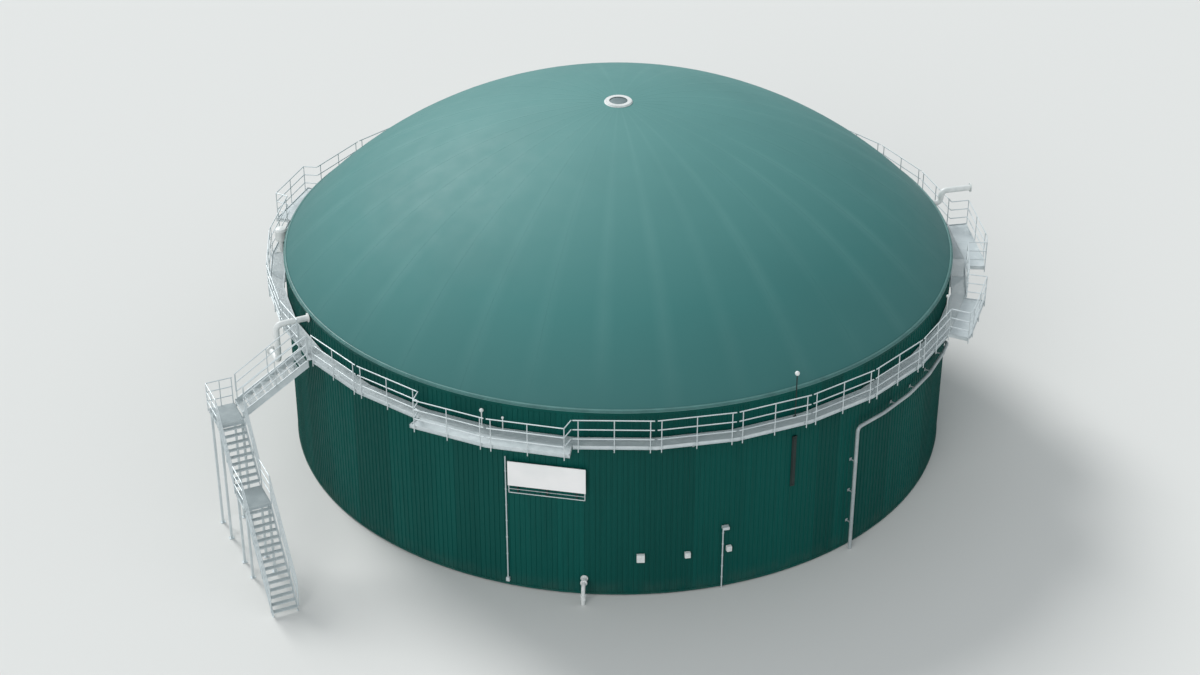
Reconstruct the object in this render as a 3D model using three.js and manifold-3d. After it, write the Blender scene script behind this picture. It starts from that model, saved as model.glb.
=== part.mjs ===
// Biogas digester: a clad round tank under a membrane dome, with a ring gallery, wide decks,
// two side platforms and a stair.
// Millimetres, +Z up, origin on the ground at the tank's centre, front towards -Y.
import * as THREE from 'three';
import { mergeVertices } from 'three/addons/utils/BufferGeometryUtils.js';
import Module from 'manifold-3d';

const wasm = await Module();
wasm.setup();

// Driving dimensions
const WALL_INNER_R = 13000;
const WALL_THICK = 250;
const CLADDING_OUTER_R = 13500;
const CLADDING_THICK = 200;
const CLADDING_FOOT_Z = 60;
const SLAB_THICK = 250;
const RIM_Z = 8190;
const RIM_RING_HEIGHT = 110;
const DOME_FOOT_R = 13400;
const DOME_RISE = 5800;
const MEMBRANE_THICK = 40;
const DOME_FACETS = 64;
const DOME_SEAM = -4.5;
const DOME_JOINT_R = 8300;
const CROWN_R = 560;
const DECK_Z = 7070;
const GALLERY_OUTER_R = 14120;
const WIDE_DECK_OUTER_R = 14700;
const PLATFORM_OUTER_R = 14880;
const RAIL_HEIGHT = 1130;
const KNEE_DROPS = [390, 780];
const GAP = 0.3;

// Bays of the ring gallery, in degrees from the front (-Y) towards +X
const BAYS = 30;
const BAY_ANGLE = 360 / BAYS;
const FIRST_KINK = -5.7;
const FACETS = 60;

// Ends of the decks, in degrees
const WIDE_FRONT = [FIRST_KINK - 2 * BAY_ANGLE, FIRST_KINK];
const PLATFORM_FRONT = [64.9, 77];
const PLATFORM_REAR = [87.6, FIRST_KINK + 9 * BAY_ANGLE];
const REAR_SPLIT = FIRST_KINK + 15 * BAY_ANGLE;
const WIDE_REAR = [FIRST_KINK + 21 * BAY_ANGLE, FIRST_KINK + 22 * BAY_ANGLE];
const STAIR_OPENING = [301.4, 306.6];

// Access stair: plan directions, step sizes and the top landing's centre
const STAIR_TURN = 26.1;
const RISERS = 35;
const RISE = DECK_Z / RISERS;
const LOWER_RISERS = 16;
const MIDDLE_RISERS = 10;
const UPPER_RISERS = 9;
const GOING = 175;
const UPPER_GOING = 340;
const FLIGHT_WIDTH = 1000;
const LANDING_CENTRE = [-14655, -9426];
const LANDING_LENGTH = 1300;

const rad = THREE.MathUtils.degToRad;

const FINISH = {
  concrete: { color: 0x9a9890, roughness: 0.9, metalness: 0 },
  cladding: { color: 0x1d5c50, roughness: 0.5, metalness: 0.2 },
  membrane: { color: 0x477f7b, roughness: 0.55, metalness: 0 },
  clampRing: { color: 0x538b84, roughness: 0.5, metalness: 0 },
  galvanised: { color: 0xa9b4b4, roughness: 0.5, metalness: 0.8 },
  whitePaint: { color: 0xe6e8e6, roughness: 0.4, metalness: 0 },
  plate: { color: 0xdfe4e2, roughness: 0.4, metalness: 0 },
  dark: { color: 0x1c2a28, roughness: 0.6, metalness: 0 },
  greyPipe: { color: 0x8f9899, roughness: 0.5, metalness: 0.4 },
};

const part = new THREE.Group();

function addNode(name, geometry, finish) {
  const mesh = new THREE.Mesh(geometry, new THREE.MeshStandardMaterial(finish));
  mesh.name = name;
  part.add(mesh);
  return mesh;
}

// Azimuth and radius to a point; azimuth 0 is the front, 90 the right side
function polar(azimuth, radius, z) {
  const a = rad(azimuth);
  return new THREE.Vector3(radius * Math.sin(a), -radius * Math.cos(a), z);
}

function signedVolume(positions, indices) {
  const [a, b, c] = [new THREE.Vector3(), new THREE.Vector3(), new THREE.Vector3()];
  let volume = 0;
  for (let i = 0; i < indices.length; i += 3) {
    a.fromArray(positions, indices[i] * 3);
    b.fromArray(positions, indices[i + 1] * 3);
    c.fromArray(positions, indices[i + 2] * 3);
    volume += a.dot(b.cross(c)) / 6;
  }
  return volume;
}

// Turns a closed indexed geometry so that its faces point out
function outward(geometry) {
  const indices = [...geometry.index.array];
  if (signedVolume(geometry.attributes.position.array, indices) < 0) {
    for (let i = 0; i < indices.length; i += 3) {
      [indices[i], indices[i + 1]] = [indices[i + 1], indices[i]];
    }
    geometry.setIndex(indices);
  }
  return geometry;
}

function closedGeometry(points, triangles) {
  const positions = points.flatMap((p) => [p.x, p.y, p.z]);
  const geometry = new THREE.BufferGeometry();
  geometry.setAttribute('position', new THREE.Float32BufferAttribute(positions, 3));
  geometry.setIndex(triangles.flat());
  return outward(geometry);
}

function bare(geometry) {
  const copy = geometry.clone();
  copy.deleteAttribute('normal');
  copy.deleteAttribute('uv');
  return mergeVertices(copy, 1e-3);
}

function toSolid(geometry) {
  const merged = bare(geometry);
  const vertProperties = new Float32Array(merged.attributes.position.array);
  const triVerts = new Uint32Array(merged.index.array);
  return new wasm.Manifold(new wasm.Mesh({ numProp: 3, vertProperties, triVerts }));
}

function toGeometry(solid) {
  const mesh = solid.getMesh();
  const geometry = new THREE.BufferGeometry();
  geometry.setAttribute('position', new THREE.Float32BufferAttribute(mesh.vertProperties, 3));
  geometry.setIndex(new THREE.Uint32BufferAttribute(mesh.triVerts, 1));
  return geometry;
}

function join(geometries) {
  const solids = geometries.map(toSolid);
  return toGeometry(solids.reduce((whole, next) => whole.add(next)));
}

function box(sx, sy, sz, x, y, z) {
  return new THREE.BoxGeometry(sx, sy, sz).translate(x, y, z);
}

// A box between two corners
function boxBetween([x0, y0, z0], [x1, y1, z1]) {
  return box(x1 - x0, y1 - y0, z1 - z0, (x0 + x1) / 2, (y0 + y1) / 2, (z0 + z1) / 2);
}

function uprightCylinder(radius, z0, z1, sides = 16) {
  return new THREE.CylinderGeometry(radius, radius, z1 - z0, sides)
    .rotateX(Math.PI / 2).translate(0, 0, (z0 + z1) / 2);
}

// A solid of revolution about Z: the profile starts and ends on the axis
function revolve(profile, sides, startAngle) {
  const points = profile.map(([r, z]) => new THREE.Vector2(r, z));
  const lathe = new THREE.LatheGeometry(points, sides).rotateX(Math.PI / 2).rotateZ(rad(startAngle));
  return outward(bare(lathe));
}

// Triangles of a flat outline, turning the same way as the outline; holes turn the other way
function triangulate(outline, holes = []) {
  const toVectors = (loop) => loop.map(([x, y]) => new THREE.Vector2(x, y));
  const corners = toVectors([...outline, ...holes.flat()]);
  const sense = Math.sign(THREE.ShapeUtils.area(toVectors(outline)));
  return THREE.ShapeUtils.triangulateShape(toVectors(outline), holes.map(toVectors)).map((face) => {
    const turn = Math.sign(THREE.ShapeUtils.area(face.map((i) => corners[i])));
    return turn === sense ? face : [...face].reverse();
  });
}

// Sweeps a closed (radius, z) profile round the azimuth stations [azimuth, radius factor]
function sweepRound(profile, stations, closed = false) {
  const count = profile.length;
  const points = stations.flatMap(([a, k]) => profile.map(([r, z]) => polar(a, r * k, z)));
  const triangles = [];
  const spans = closed ? stations.length : stations.length - 1;
  for (let s = 0; s < spans; s += 1) {
    const here = s * count;
    const next = ((s + 1) % stations.length) * count;
    for (let i = 0; i < count; i += 1) {
      const j = (i + 1) % count;
      triangles.push([here + i, next + i, next + j], [here + i, next + j, here + j]);
    }
  }
  if (!closed) {
    const last = (stations.length - 1) * count;
    for (const [i, j, k] of triangulate(profile)) {
      triangles.push([i, j, k], [last + k, last + j, last + i]);
    }
  }
  return closedGeometry(points, triangles);
}

function rectangle(r0, r1, z0, z1) {
  return [[r0, z0], [r1, z0], [r1, z1], [r0, z1]];
}

// Stations with the profile's radius measured at the corners
function ringStations(from, to, steps) {
  return Array.from({ length: steps + 1 }, (_, i) => [from + ((to - from) * i) / steps, 1]);
}

function bayCentre(azimuth) {
  const index = Math.floor((azimuth - FIRST_KINK) / BAY_ANGLE + 1e-6);
  return FIRST_KINK + (index + 0.5) * BAY_ANGLE;
}

// Azimuths of a gallery stretch: its two ends and every kink between them
function stretch(from, to) {
  const azimuths = [from];
  let kink = FIRST_KINK + Math.ceil((from - FIRST_KINK) / BAY_ANGLE + 1e-3) * BAY_ANGLE;
  while (kink < to - 0.05) {
    azimuths.push(kink);
    kink += BAY_ANGLE;
  }
  azimuths.push(to);
  return azimuths;
}

// How much farther out than its bay's middle a corner lies
function cornerFactor(azimuth, centre) {
  return 1 / Math.cos(rad(azimuth - centre));
}

function bayStations(from, to) {
  const azimuths = stretch(from, to);
  return azimuths.map((a, i) => {
    const inside = i === azimuths.length - 1 ? (azimuths[i - 1] + a) / 2 : (a + azimuths[i + 1]) / 2;
    return [a, cornerFactor(a, bayCentre(inside))];
  });
}

// Tank shell
function buildSlab() {
  addNode('floor_slab', revolve([[0, 0], [13250, 0], [13250, SLAB_THICK], [0, SLAB_THICK]],
    FACETS, FIRST_KINK - 90), FINISH.concrete);
}

function buildWall() {
  const segments = 4;
  const wallTop = RIM_Z - RIM_RING_HEIGHT - GAP;
  const turn = 360 / segments;
  const gapAngle = THREE.MathUtils.radToDeg(GAP / WALL_INNER_R);
  const wallOuter = WALL_INNER_R + WALL_THICK;
  const wallProfile = rectangle(WALL_INNER_R, wallOuter, SLAB_THICK + GAP, wallTop);
  const skinProfile = rectangle(CLADDING_OUTER_R - CLADDING_THICK, CLADDING_OUTER_R, CLADDING_FOOT_Z, wallTop);
  for (let i = 0; i < segments; i += 1) {
    const from = FIRST_KINK + i * turn;
    const stations = ringStations(from, from + turn - gapAngle, FACETS / segments);
    addNode(`tank_wall_${i + 1}`, sweepRound(wallProfile, stations), FINISH.concrete);
    addNode(`wall_cladding_${i + 1}`, sweepRound(skinProfile, stations), FINISH.cladding);
  }
}

function buildRimRing() {
  const stations = ringStations(FIRST_KINK, FIRST_KINK + 360, FACETS).slice(0, -1);
  const profile = rectangle(WALL_INNER_R, CLADDING_OUTER_R + 20, RIM_Z - RIM_RING_HEIGHT, RIM_Z);
  addNode('rim_clamp_ring', sweepRound(profile, stations, true), FINISH.clampRing);
}

// Points of a ball-cap arc between two radii
function capArc(rimRadius, rise, fromRadius, toRadius, steps) {
  const ball = (rimRadius ** 2 + rise ** 2) / (2 * rise);
  const centreZ = RIM_Z + GAP + rise - ball;
  const first = Math.asin(fromRadius / ball);
  const last = Math.asin(toRadius / ball);
  return Array.from({ length: steps + 1 }, (_, i) => {
    const angle = first + ((last - first) * i) / steps;
    return [ball * Math.sin(angle), centreZ + ball * Math.cos(angle)];
  });
}

// The membrane is divided at a ring: a cap round the crown and a belt down to the rim
function buildDome() {
  const flat = CROWN_R + 100;
  const innerFootR = DOME_FOOT_R - MEMBRANE_THICK - 20;
  const innerRise = DOME_RISE - MEMBRANE_THICK;
  const top = capArc(DOME_FOOT_R, DOME_RISE, flat, DOME_JOINT_R, 5);
  const ceiling = capArc(innerFootR, innerRise, flat, DOME_JOINT_R, 3);
  const cap = [[0, top[0][1]], ...top, ...ceiling.reverse(), [0, ceiling[ceiling.length - 1][1]]];
  addNode('membrane_dome_upper', revolve(cap, DOME_FACETS, DOME_SEAM - 90), FINISH.membrane);

  const beltTopR = DOME_JOINT_R + GAP;
  const outside = capArc(DOME_FOOT_R, DOME_RISE, beltTopR, DOME_FOOT_R, 4);
  const inside = capArc(innerFootR, innerRise, beltTopR, innerFootR, 3);
  const stations = ringStations(DOME_SEAM, DOME_SEAM + 360, DOME_FACETS).slice(0, -1);
  addNode('membrane_dome_lower', sweepRound([...outside, ...inside.reverse()], stations, true),
    FINISH.membrane);
  return top[0][1];
}

function buildCrown(topZ) {
  const sides = 24;
  const inner = CROWN_R - 110;
  const foot = topZ + GAP;
  const stations = ringStations(0, 360, sides).slice(0, -1);
  addNode('crown_ring', sweepRound(rectangle(inner, CROWN_R, foot, foot + 70), stations, true),
    FINISH.whitePaint);
  addNode('crown_plate', revolve([[0, foot], [inner - 5, foot], [inner - 5, foot + 30], [0, foot + 45]],
    sides, 0), FINISH.galvanised);
}

// Ring gallery
const GALLERY_INNER_R = 13515;
const EDGE_BAND_THICK = 40;
const EDGE_BAND_UP = 30;
const EDGE_BAND_DOWN = 120;
const DECK_THICK = 40;
const BRACKET_WIDTH = 60;
const BRACKET_HEIGHT = 520;

function deckProfile(outer, z) {
  const inner = GALLERY_INNER_R;
  const edge = outer - EDGE_BAND_THICK - GAP;
  return [
    [inner, z - 160], [inner + 50, z - 160], [inner + 50, z - DECK_THICK], [edge, z - DECK_THICK],
    [edge, z], [inner, z],
  ];
}

// A wall bracket under the deck, at the middle of a bay
function bracket(azimuth, outer, z) {
  const wall = CLADDING_OUTER_R + GAP;
  const top = z - DECK_THICK + 8;
  const outline = new THREE.Shape([
    new THREE.Vector2(wall, z - BRACKET_HEIGHT), new THREE.Vector2(wall + 100, z - BRACKET_HEIGHT),
    new THREE.Vector2(outer - 90, z - 140), new THREE.Vector2(outer - 90, top),
    new THREE.Vector2(wall, top),
  ]);
  return new THREE.ExtrudeGeometry(outline, { depth: BRACKET_WIDTH, bevelEnabled: false })
    .translate(0, 0, -BRACKET_WIDTH / 2).rotateX(Math.PI / 2).rotateZ(rad(azimuth - 90));
}

function bracketAzimuths(from, to) {
  const centres = [];
  for (let k = 0; k < BAYS * 2; k += 1) {
    const centre = FIRST_KINK + (k - BAYS / 2 + 0.5) * BAY_ANGLE;
    if (centre > from + 1 && centre < to - 1) centres.push(centre);
  }
  return centres;
}

function galleryDeck(from, to, outer, z) {
  const inset = outer > GALLERY_OUTER_R ? EDGE_BAND_THICK + 15 : 1;
  const gapAngle = THREE.MathUtils.radToDeg(inset / GALLERY_INNER_R);
  const stations = bayStations(from + gapAngle, to - gapAngle);
  const pieces = [sweepRound(deckProfile(outer, z), stations)];
  for (const centre of bracketAzimuths(from, to)) pieces.push(bracket(centre, outer, z));
  return join(pieces);
}

// Railings: posts outside the edge band, a handrail and two knee rails; they stop short of each kink
const POST_WIDTH = 40;
const RAIL_DEPTH = 44;
const POST_INSET = 200;
const POST_DROP = 250;
const SHORT_BAY = 900;
const KINK_GAP = 100;
const RAIL_OVERHANG = RAIL_DEPTH / 2 - 4;
const RING_LINE = GALLERY_OUTER_R + RAIL_OVERHANG;

// How a railing ends: in line with its neighbour, slanting to the ring from its last post, or square
const IN_LINE = 'in line';
const SLANTED = 'slanted';
const SQUARE = 'square';

function isAtKink(azimuth) {
  const bays = (azimuth - FIRST_KINK) / BAY_ANGLE;
  return Math.abs(bays - Math.round(bays)) < 0.01;
}

// How far a railing's last post stands from its end
function endInset(azimuth, ending) {
  const hasCornerPost = ending === SQUARE || (ending === IN_LINE && !isAtKink(azimuth));
  return hasCornerPost ? POST_WIDTH / 2 : POST_INSET;
}

// A square bar between two places of a bay, each [out, along]
function railBar([x0, y0], [x1, y1], top) {
  const length = Math.hypot(x1 - x0, y1 - y0);
  return box(length, RAIL_DEPTH, RAIL_DEPTH, length / 2, 0, top - RAIL_DEPTH / 2)
    .rotateZ(Math.atan2(y1 - y0, x1 - x0)).translate(x0, y0, 0);
}

// The plate across a wide deck's end, from its corner back to the ring gallery's edge
function endPlate(azimuth, inward, outer, z) {
  const factor = cornerFactor(azimuth, bayCentre(azimuth + inward * 0.5));
  const side = inward * EDGE_BAND_THICK;
  return radially(boxBetween([GALLERY_OUTER_R * factor + 2, Math.min(0, side), z - EDGE_BAND_DOWN],
    [outer * factor, Math.max(0, side), z + EDGE_BAND_UP]), azimuth);
}

// Edge band and railing round the bays between two azimuths
function railing(from, to, outer, z, ending = IN_LINE) {
  const azimuths = stretch(from, to);
  const last = azimuths.length - 2;
  const line = outer + RAIL_OVERHANG;
  const heights = [0, ...KNEE_DROPS].map((drop) => z + RAIL_HEIGHT - drop);
  const band = rectangle(outer - EDGE_BAND_THICK, outer, z - EDGE_BAND_DOWN, z + EDGE_BAND_UP);
  const pieces = [sweepRound(band, bayStations(from, to))];
  const half = POST_WIDTH / 2;
  for (let b = 0; b <= last; b += 1) {
    const centre = bayCentre((azimuths[b] + azimuths[b + 1]) / 2);
    const place = (radius) => [azimuths[b], azimuths[b + 1]].map((a) => radius * Math.tan(rad(a - centre)));
    const [start, end] = place(line);
    const left = start + (b === 0 ? endInset(from, ending) : POST_INSET);
    const right = end - (b === last ? endInset(to, ending) : POST_INSET);
    const isShort = end - start < SHORT_BAY;
    const posts = isShort ? [b === last && b > 0 ? right : left] : [left, (left + right) / 2, right];
    for (const along of posts) {
      pieces.push(radially(boxBetween([line - half, along - half, z - POST_DROP],
        [line + half, along + half, z + RAIL_HEIGHT - RAIL_DEPTH / 2]), centre));
    }
    const clear = RAIL_DEPTH / 2;
    const ends = ending === SLANTED ? [left, right] : [start, end];
    const railStart = b === 0 ? ends[0] : start + KINK_GAP / 2;
    const railEnd = b === last ? ends[1] : end - KINK_GAP / 2;
    const bars = [[[line, railStart], [line, railEnd]]];
    const [ringStart, ringEnd] = place(RING_LINE);
    const corners = ending === SLANTED ? [left, right] : [start + clear, end - clear];
    if (ending !== IN_LINE && b === 0) bars.push([[line, corners[0]], [RING_LINE, ringStart + clear]]);
    if (ending !== IN_LINE && b === last) bars.push([[line, corners[1]], [RING_LINE, ringEnd - clear]]);
    for (const top of heights) {
      for (const [here, there] of bars) pieces.push(radially(railBar(here, there, top), centre));
    }
  }
  if (ending !== IN_LINE) pieces.push(endPlate(from, 1, outer, z), endPlate(to, -1, outer, z));
  return join(pieces);
}

// Access stair in its own plan axes: +Y up the main flight, +X from the landing to the tank
const LANDING_Z = (LOWER_RISERS + MIDDLE_RISERS) * RISE;
const MID_LANDING_Z = LOWER_RISERS * RISE;
const LANDING_DEPTH = 180;
const STRINGER_THICK = 40;
const STRINGER_UP = 30;
const STRINGER_VERTICAL = 330;
const TREAD_THICK = 35;
const MIDDLE_RUN = (MIDDLE_RISERS - 1) * GOING;
const LOWER_RUN = (LOWER_RISERS - 1) * GOING;
const MID_LANDING_LENGTH = 1200;
const TOP_FRONT_Y = -LANDING_LENGTH / 2;
const MID_REAR_Y = TOP_FRONT_Y - MIDDLE_RUN;
const MID_FRONT_Y = MID_REAR_Y - MID_LANDING_LENGTH;
const FOOT_Y = MID_FRONT_Y - LOWER_RUN;

function onStair(geometry) {
  return geometry.rotateZ(rad(STAIR_TURN)).translate(LANDING_CENTRE[0], LANDING_CENTRE[1], 0);
}

// Extrudes a (y, z) outline along X, centred on x
function sidePlate(outline, thick, x) {
  const shape = new THREE.Shape(outline.map(([y, z]) => new THREE.Vector2(y, z)));
  return new THREE.ExtrudeGeometry(shape, { depth: thick, bevelEnabled: false })
    .rotateX(Math.PI / 2).rotateZ(Math.PI / 2).translate(x - thick / 2, 0, 0);
}

// One flight climbing along +Y from y = 0: two stringers and the treads between them
function flight(risers, going, footZ, onGround) {
  const run = (risers - 1) * going;
  const slope = RISE / going;
  const upper = (y) => footZ + RISE + STRINGER_UP + y * slope;
  const lower = (y) => upper(y) - STRINGER_VERTICAL;
  const end = run - GAP;
  const footEnd = (STRINGER_VERTICAL - RISE - STRINGER_UP) / slope;
  const foot = onGround ? [[0, footZ], [footEnd, footZ]] : [[GAP, lower(GAP)]];
  const outline = [...foot, [end, lower(end)], [end, upper(end)], [GAP, upper(GAP)]];
  const side = (FLIGHT_WIDTH - STRINGER_THICK) / 2;
  const pieces = [sidePlate(outline, STRINGER_THICK, -side), sidePlate(outline, STRINGER_THICK, side)];
  for (let i = 1; i < risers; i += 1) {
    const top = footZ + i * RISE;
    pieces.push(boxBetween([-side, (i - 1) * going - 15, top - TREAD_THICK], [side, i * going - 5, top]));
  }
  return join(pieces);
}

// A landing: plate, edge frame and legs down to the ground
function landing(x0, x1, y0, y1, z, legs) {
  const edge = 50;
  const leg = 90;
  const foot = 200;
  const pieces = [boxBetween([x0, y0, z - 40], [x1, y1, z])];
  for (const y of [y0, y1 - edge]) pieces.push(boxBetween([x0, y, z - LANDING_DEPTH], [x1, y + edge, z - 20]));
  for (const x of [x0, x1 - edge]) pieces.push(boxBetween([x, y0, z - LANDING_DEPTH], [x + edge, y1, z - 20]));
  for (const [x, y] of legs) {
    pieces.push(boxBetween([x - leg / 2, y - leg / 2, 8], [x + leg / 2, y + leg / 2, z - 20]));
    pieces.push(boxBetween([x - foot / 2, y - foot / 2, 0], [x + foot / 2, y + foot / 2, 15]));
  }
  return join(pieces);
}

// A flat band of even width along an open (y, z) line, mitred at its corners
function ribbon(line, width) {
  const directions = line.slice(1).map(([y, z], i) => {
    const [dy, dz] = [y - line[i][0], z - line[i][1]];
    const length = Math.hypot(dy, dz);
    return [dy / length, dz / length];
  });
  const sides = line.map(([y, z], i) => {
    const before = directions[Math.max(i - 1, 0)];
    const after = directions[Math.min(i, directions.length - 1)];
    const [ny, nz] = [-(before[1] + after[1]), before[0] + after[0]];
    const scale = width / (1 + before[0] * after[0] + before[1] * after[1]) / 2;
    return [[y + ny * scale, z + nz * scale], [y - ny * scale, z - nz * scale]];
  });
  return [...sides.map((p) => p[0]), ...sides.map((p) => p[1]).reverse()];
}

// A railing in one plane: the walking line [y, z], the posts' places and how far they reach down
function lineRailing(walk, posts, down, x) {
  const lift = (height) => walk.map(([y, z]) => [y, z + height]);
  const heightAt = (y) => {
    const i = Math.max(1, walk.findIndex(([end]) => end >= y));
    const [[y0, z0], [y1, z1]] = [walk[i - 1], walk[i]];
    return z0 + ((z1 - z0) * (y - y0)) / (y1 - y0);
  };
  const pieces = [0, ...KNEE_DROPS].map((drop) => sidePlate(
    ribbon(lift(RAIL_HEIGHT - drop - RAIL_DEPTH / 2), RAIL_DEPTH), RAIL_DEPTH, x));
  for (const y of posts) {
    const z = heightAt(y);
    pieces.push(boxBetween([x - RAIL_DEPTH / 2, y - POST_WIDTH / 2, z - down],
      [x + RAIL_DEPTH / 2, y + POST_WIDTH / 2, z + RAIL_HEIGHT - RAIL_DEPTH / 2]));
  }
  return join(pieces);
}

const FLIGHT_RAIL_X = FLIGHT_WIDTH / 2 + GAP + RAIL_DEPTH / 2;

function evenly(from, to, count) {
  return Array.from({ length: count }, (_, i) => from + ((to - from) * i) / (count - 1));
}

function buildMainStair() {
  addNode('stair_lower_flight', onStair(flight(LOWER_RISERS, GOING, 0, true).translate(0, FOOT_Y, 0)),
    FINISH.galvanised);
  addNode('stair_middle_flight',
    onStair(flight(MIDDLE_RISERS, GOING, MID_LANDING_Z, false).translate(0, MID_REAR_Y, 0)), FINISH.galvanised);
  const half = FLIGHT_WIDTH / 2;
  const inset = 70;
  const legRows = [MID_FRONT_Y + inset, MID_REAR_Y - inset];
  addNode('stair_mid_landing', onStair(landing(-half, half, MID_FRONT_Y, MID_REAR_Y, MID_LANDING_Z,
    legRows.flatMap((y) => [[-half + inset, y], [half - inset, y]]))), FINISH.galvanised);
  const side = LANDING_LENGTH / 2;
  addNode('stair_top_landing', onStair(landing(-half, half, -side, side, LANDING_Z,
    [-1, 1].flatMap((i) => [-1, 1].map((j) => [i * (half - inset), j * (side - inset)])))), FINISH.galvanised);
}

function buildMainStairRails() {
  const walk = [[FOOT_Y, RISE], [MID_FRONT_Y, MID_LANDING_Z + STRINGER_UP],
    [MID_REAR_Y, MID_LANDING_Z + STRINGER_UP], [TOP_FRONT_Y - 60, LANDING_Z]];
  const posts = [...evenly(FOOT_Y + 80, MID_FRONT_Y, 4), ...evenly(MID_REAR_Y, TOP_FRONT_Y - 100, 3)];
  for (const [name, sign] of [['left', -1], ['right', 1]]) {
    addNode(`stair_railing_${name}`, onStair(lineRailing(walk, posts, 120, sign * FLIGHT_RAIL_X)),
      FINISH.galvanised);
  }
  const half = FLIGHT_WIDTH / 2;
  const side = LANDING_LENGTH / 2;
  const rearLine = side + GAP + RAIL_DEPTH / 2;
  const corner = RAIL_DEPTH / 2;
  const post = 30;
  const left = lineRailing([[-side, LANDING_Z], [rearLine + corner, LANDING_Z]],
    [post - side, 0, rearLine], 120, -FLIGHT_RAIL_X);
  const rear = lineRailing([[-half, LANDING_Z], [FLIGHT_RAIL_X + corner, LANDING_Z]],
    [post - half, 0, FLIGHT_RAIL_X], 120, rearLine).rotateZ(Math.PI / 2);
  addNode('stair_landing_railing', onStair(join([left, rear])), FINISH.galvanised);
}

// The top flight climbs along +X; it is made along +Y and turned
function buildTopFlight() {
  const start = FLIGHT_WIDTH / 2;
  const turn = (geometry) => onStair(geometry.rotateZ(-Math.PI / 2));
  addNode('stair_top_flight', turn(flight(UPPER_RISERS, UPPER_GOING, LANDING_Z, false).translate(0, start, 0)),
    FINISH.galvanised);
  const end = start + (UPPER_RISERS - 1) * UPPER_GOING;
  const walk = [[start + 60, LANDING_Z + RISE], [end, DECK_Z + STRINGER_UP]];
  for (const [name, sign] of [['left', -1], ['right', 1]]) {
    addNode(`top_flight_railing_${name}`,
      turn(lineRailing(walk, evenly(start + 100, end - 60, 3), 120, sign * FLIGHT_RAIL_X)), FINISH.galvanised);
  }
}

// The gallery deck at the stair's head: a threshold plate reaches the top flight
function withThreshold(deck) {
  const half = FLIGHT_WIDTH / 2;
  const end = half + (UPPER_RISERS - 1) * UPPER_GOING;
  return join([deck, onStair(boxBetween([end + GAP, -half, DECK_Z - 38], [end + 260, half, DECK_Z]))]);
}

// Pieces fixed to the wall's facets: local x points out of the wall, local y along it
const FACET_ANGLE = 360 / FACETS;
const WALL_FACE = CLADDING_OUTER_R * Math.cos(rad(FACET_ANGLE / 2));

function facetCentre(azimuth) {
  return FIRST_KINK + (Math.floor((azimuth - FIRST_KINK) / FACET_ANGLE) + 0.5) * FACET_ANGLE;
}

function onWall(geometry, azimuth) {
  const centre = facetCentre(azimuth);
  const along = WALL_FACE * Math.tan(rad(azimuth - centre));
  return geometry.translate(WALL_FACE + GAP, along, 0).rotateZ(rad(centre - 90));
}

// Places local x outwards and local y along the ring at an azimuth
function radially(geometry, azimuth) {
  return geometry.rotateZ(rad(azimuth - 90));
}

// A round bar or pipe along a path of points with rounded corners
function pipe(points, radius, bend, sides = 10) {
  const path = new THREE.CurvePath();
  let from = points[0];
  for (let i = 1; i < points.length - 1; i += 1) {
    const back = points[i - 1].clone().sub(points[i]).setLength(bend).add(points[i]);
    const ahead = points[i + 1].clone().sub(points[i]).setLength(bend).add(points[i]);
    path.add(new THREE.LineCurve3(from, back));
    path.add(new THREE.QuadraticBezierCurve3(back, points[i].clone(), ahead));
    from = ahead;
  }
  path.add(new THREE.LineCurve3(from, points[points.length - 1]));
  const rings = path.curves.flatMap((curve) => (curve.isLineCurve3 ? [0] : [0, 1 / 3, 2 / 3])
    .map((t) => curve.getPoint(t)));
  rings.push(points[points.length - 1]);
  return tubeThrough(rings, radius, sides);
}

// A closed tube with one ring of corners at every point of a line
function tubeThrough(line, radius, sides) {
  const points = [];
  const triangles = [];
  let normal = null;
  line.forEach((p, i) => {
    const before = line[Math.max(i - 1, 0)];
    const after = line[Math.min(i + 1, line.length - 1)];
    const tangent = after.clone().sub(before).normalize();
    if (!normal) normal = Math.abs(tangent.z) < 0.9 ? new THREE.Vector3(0, 0, 1) : new THREE.Vector3(1, 0, 0);
    normal = normal.clone().addScaledVector(tangent, -normal.dot(tangent)).normalize();
    const side = tangent.clone().cross(normal);
    for (let k = 0; k < sides; k += 1) {
      const a = (2 * Math.PI * k) / sides;
      points.push(p.clone().addScaledVector(normal, radius * Math.cos(a))
        .addScaledVector(side, radius * Math.sin(a)));
    }
  });
  for (let i = 0; i < line.length - 1; i += 1) {
    for (let k = 0; k < sides; k += 1) {
      const [a, b] = [i * sides + k, i * sides + ((k + 1) % sides)];
      triangles.push([a, b, b + sides], [a, b + sides, a + sides]);
    }
  }
  const last = (line.length - 1) * sides;
  for (let k = 1; k < sides - 1; k += 1) {
    triangles.push([0, k + 1, k], [last, last + k, last + k + 1]);
  }
  return closedGeometry(points, triangles);
}

function v3(x, y, z) {
  return new THREE.Vector3(x, y, z);
}

// A disc on a pipe whose axis is local x
function flangeX(radius, thick, x, y, z) {
  return new THREE.CylinderGeometry(radius, radius, thick, 12).rotateZ(Math.PI / 2).translate(x, y, z);
}

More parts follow.
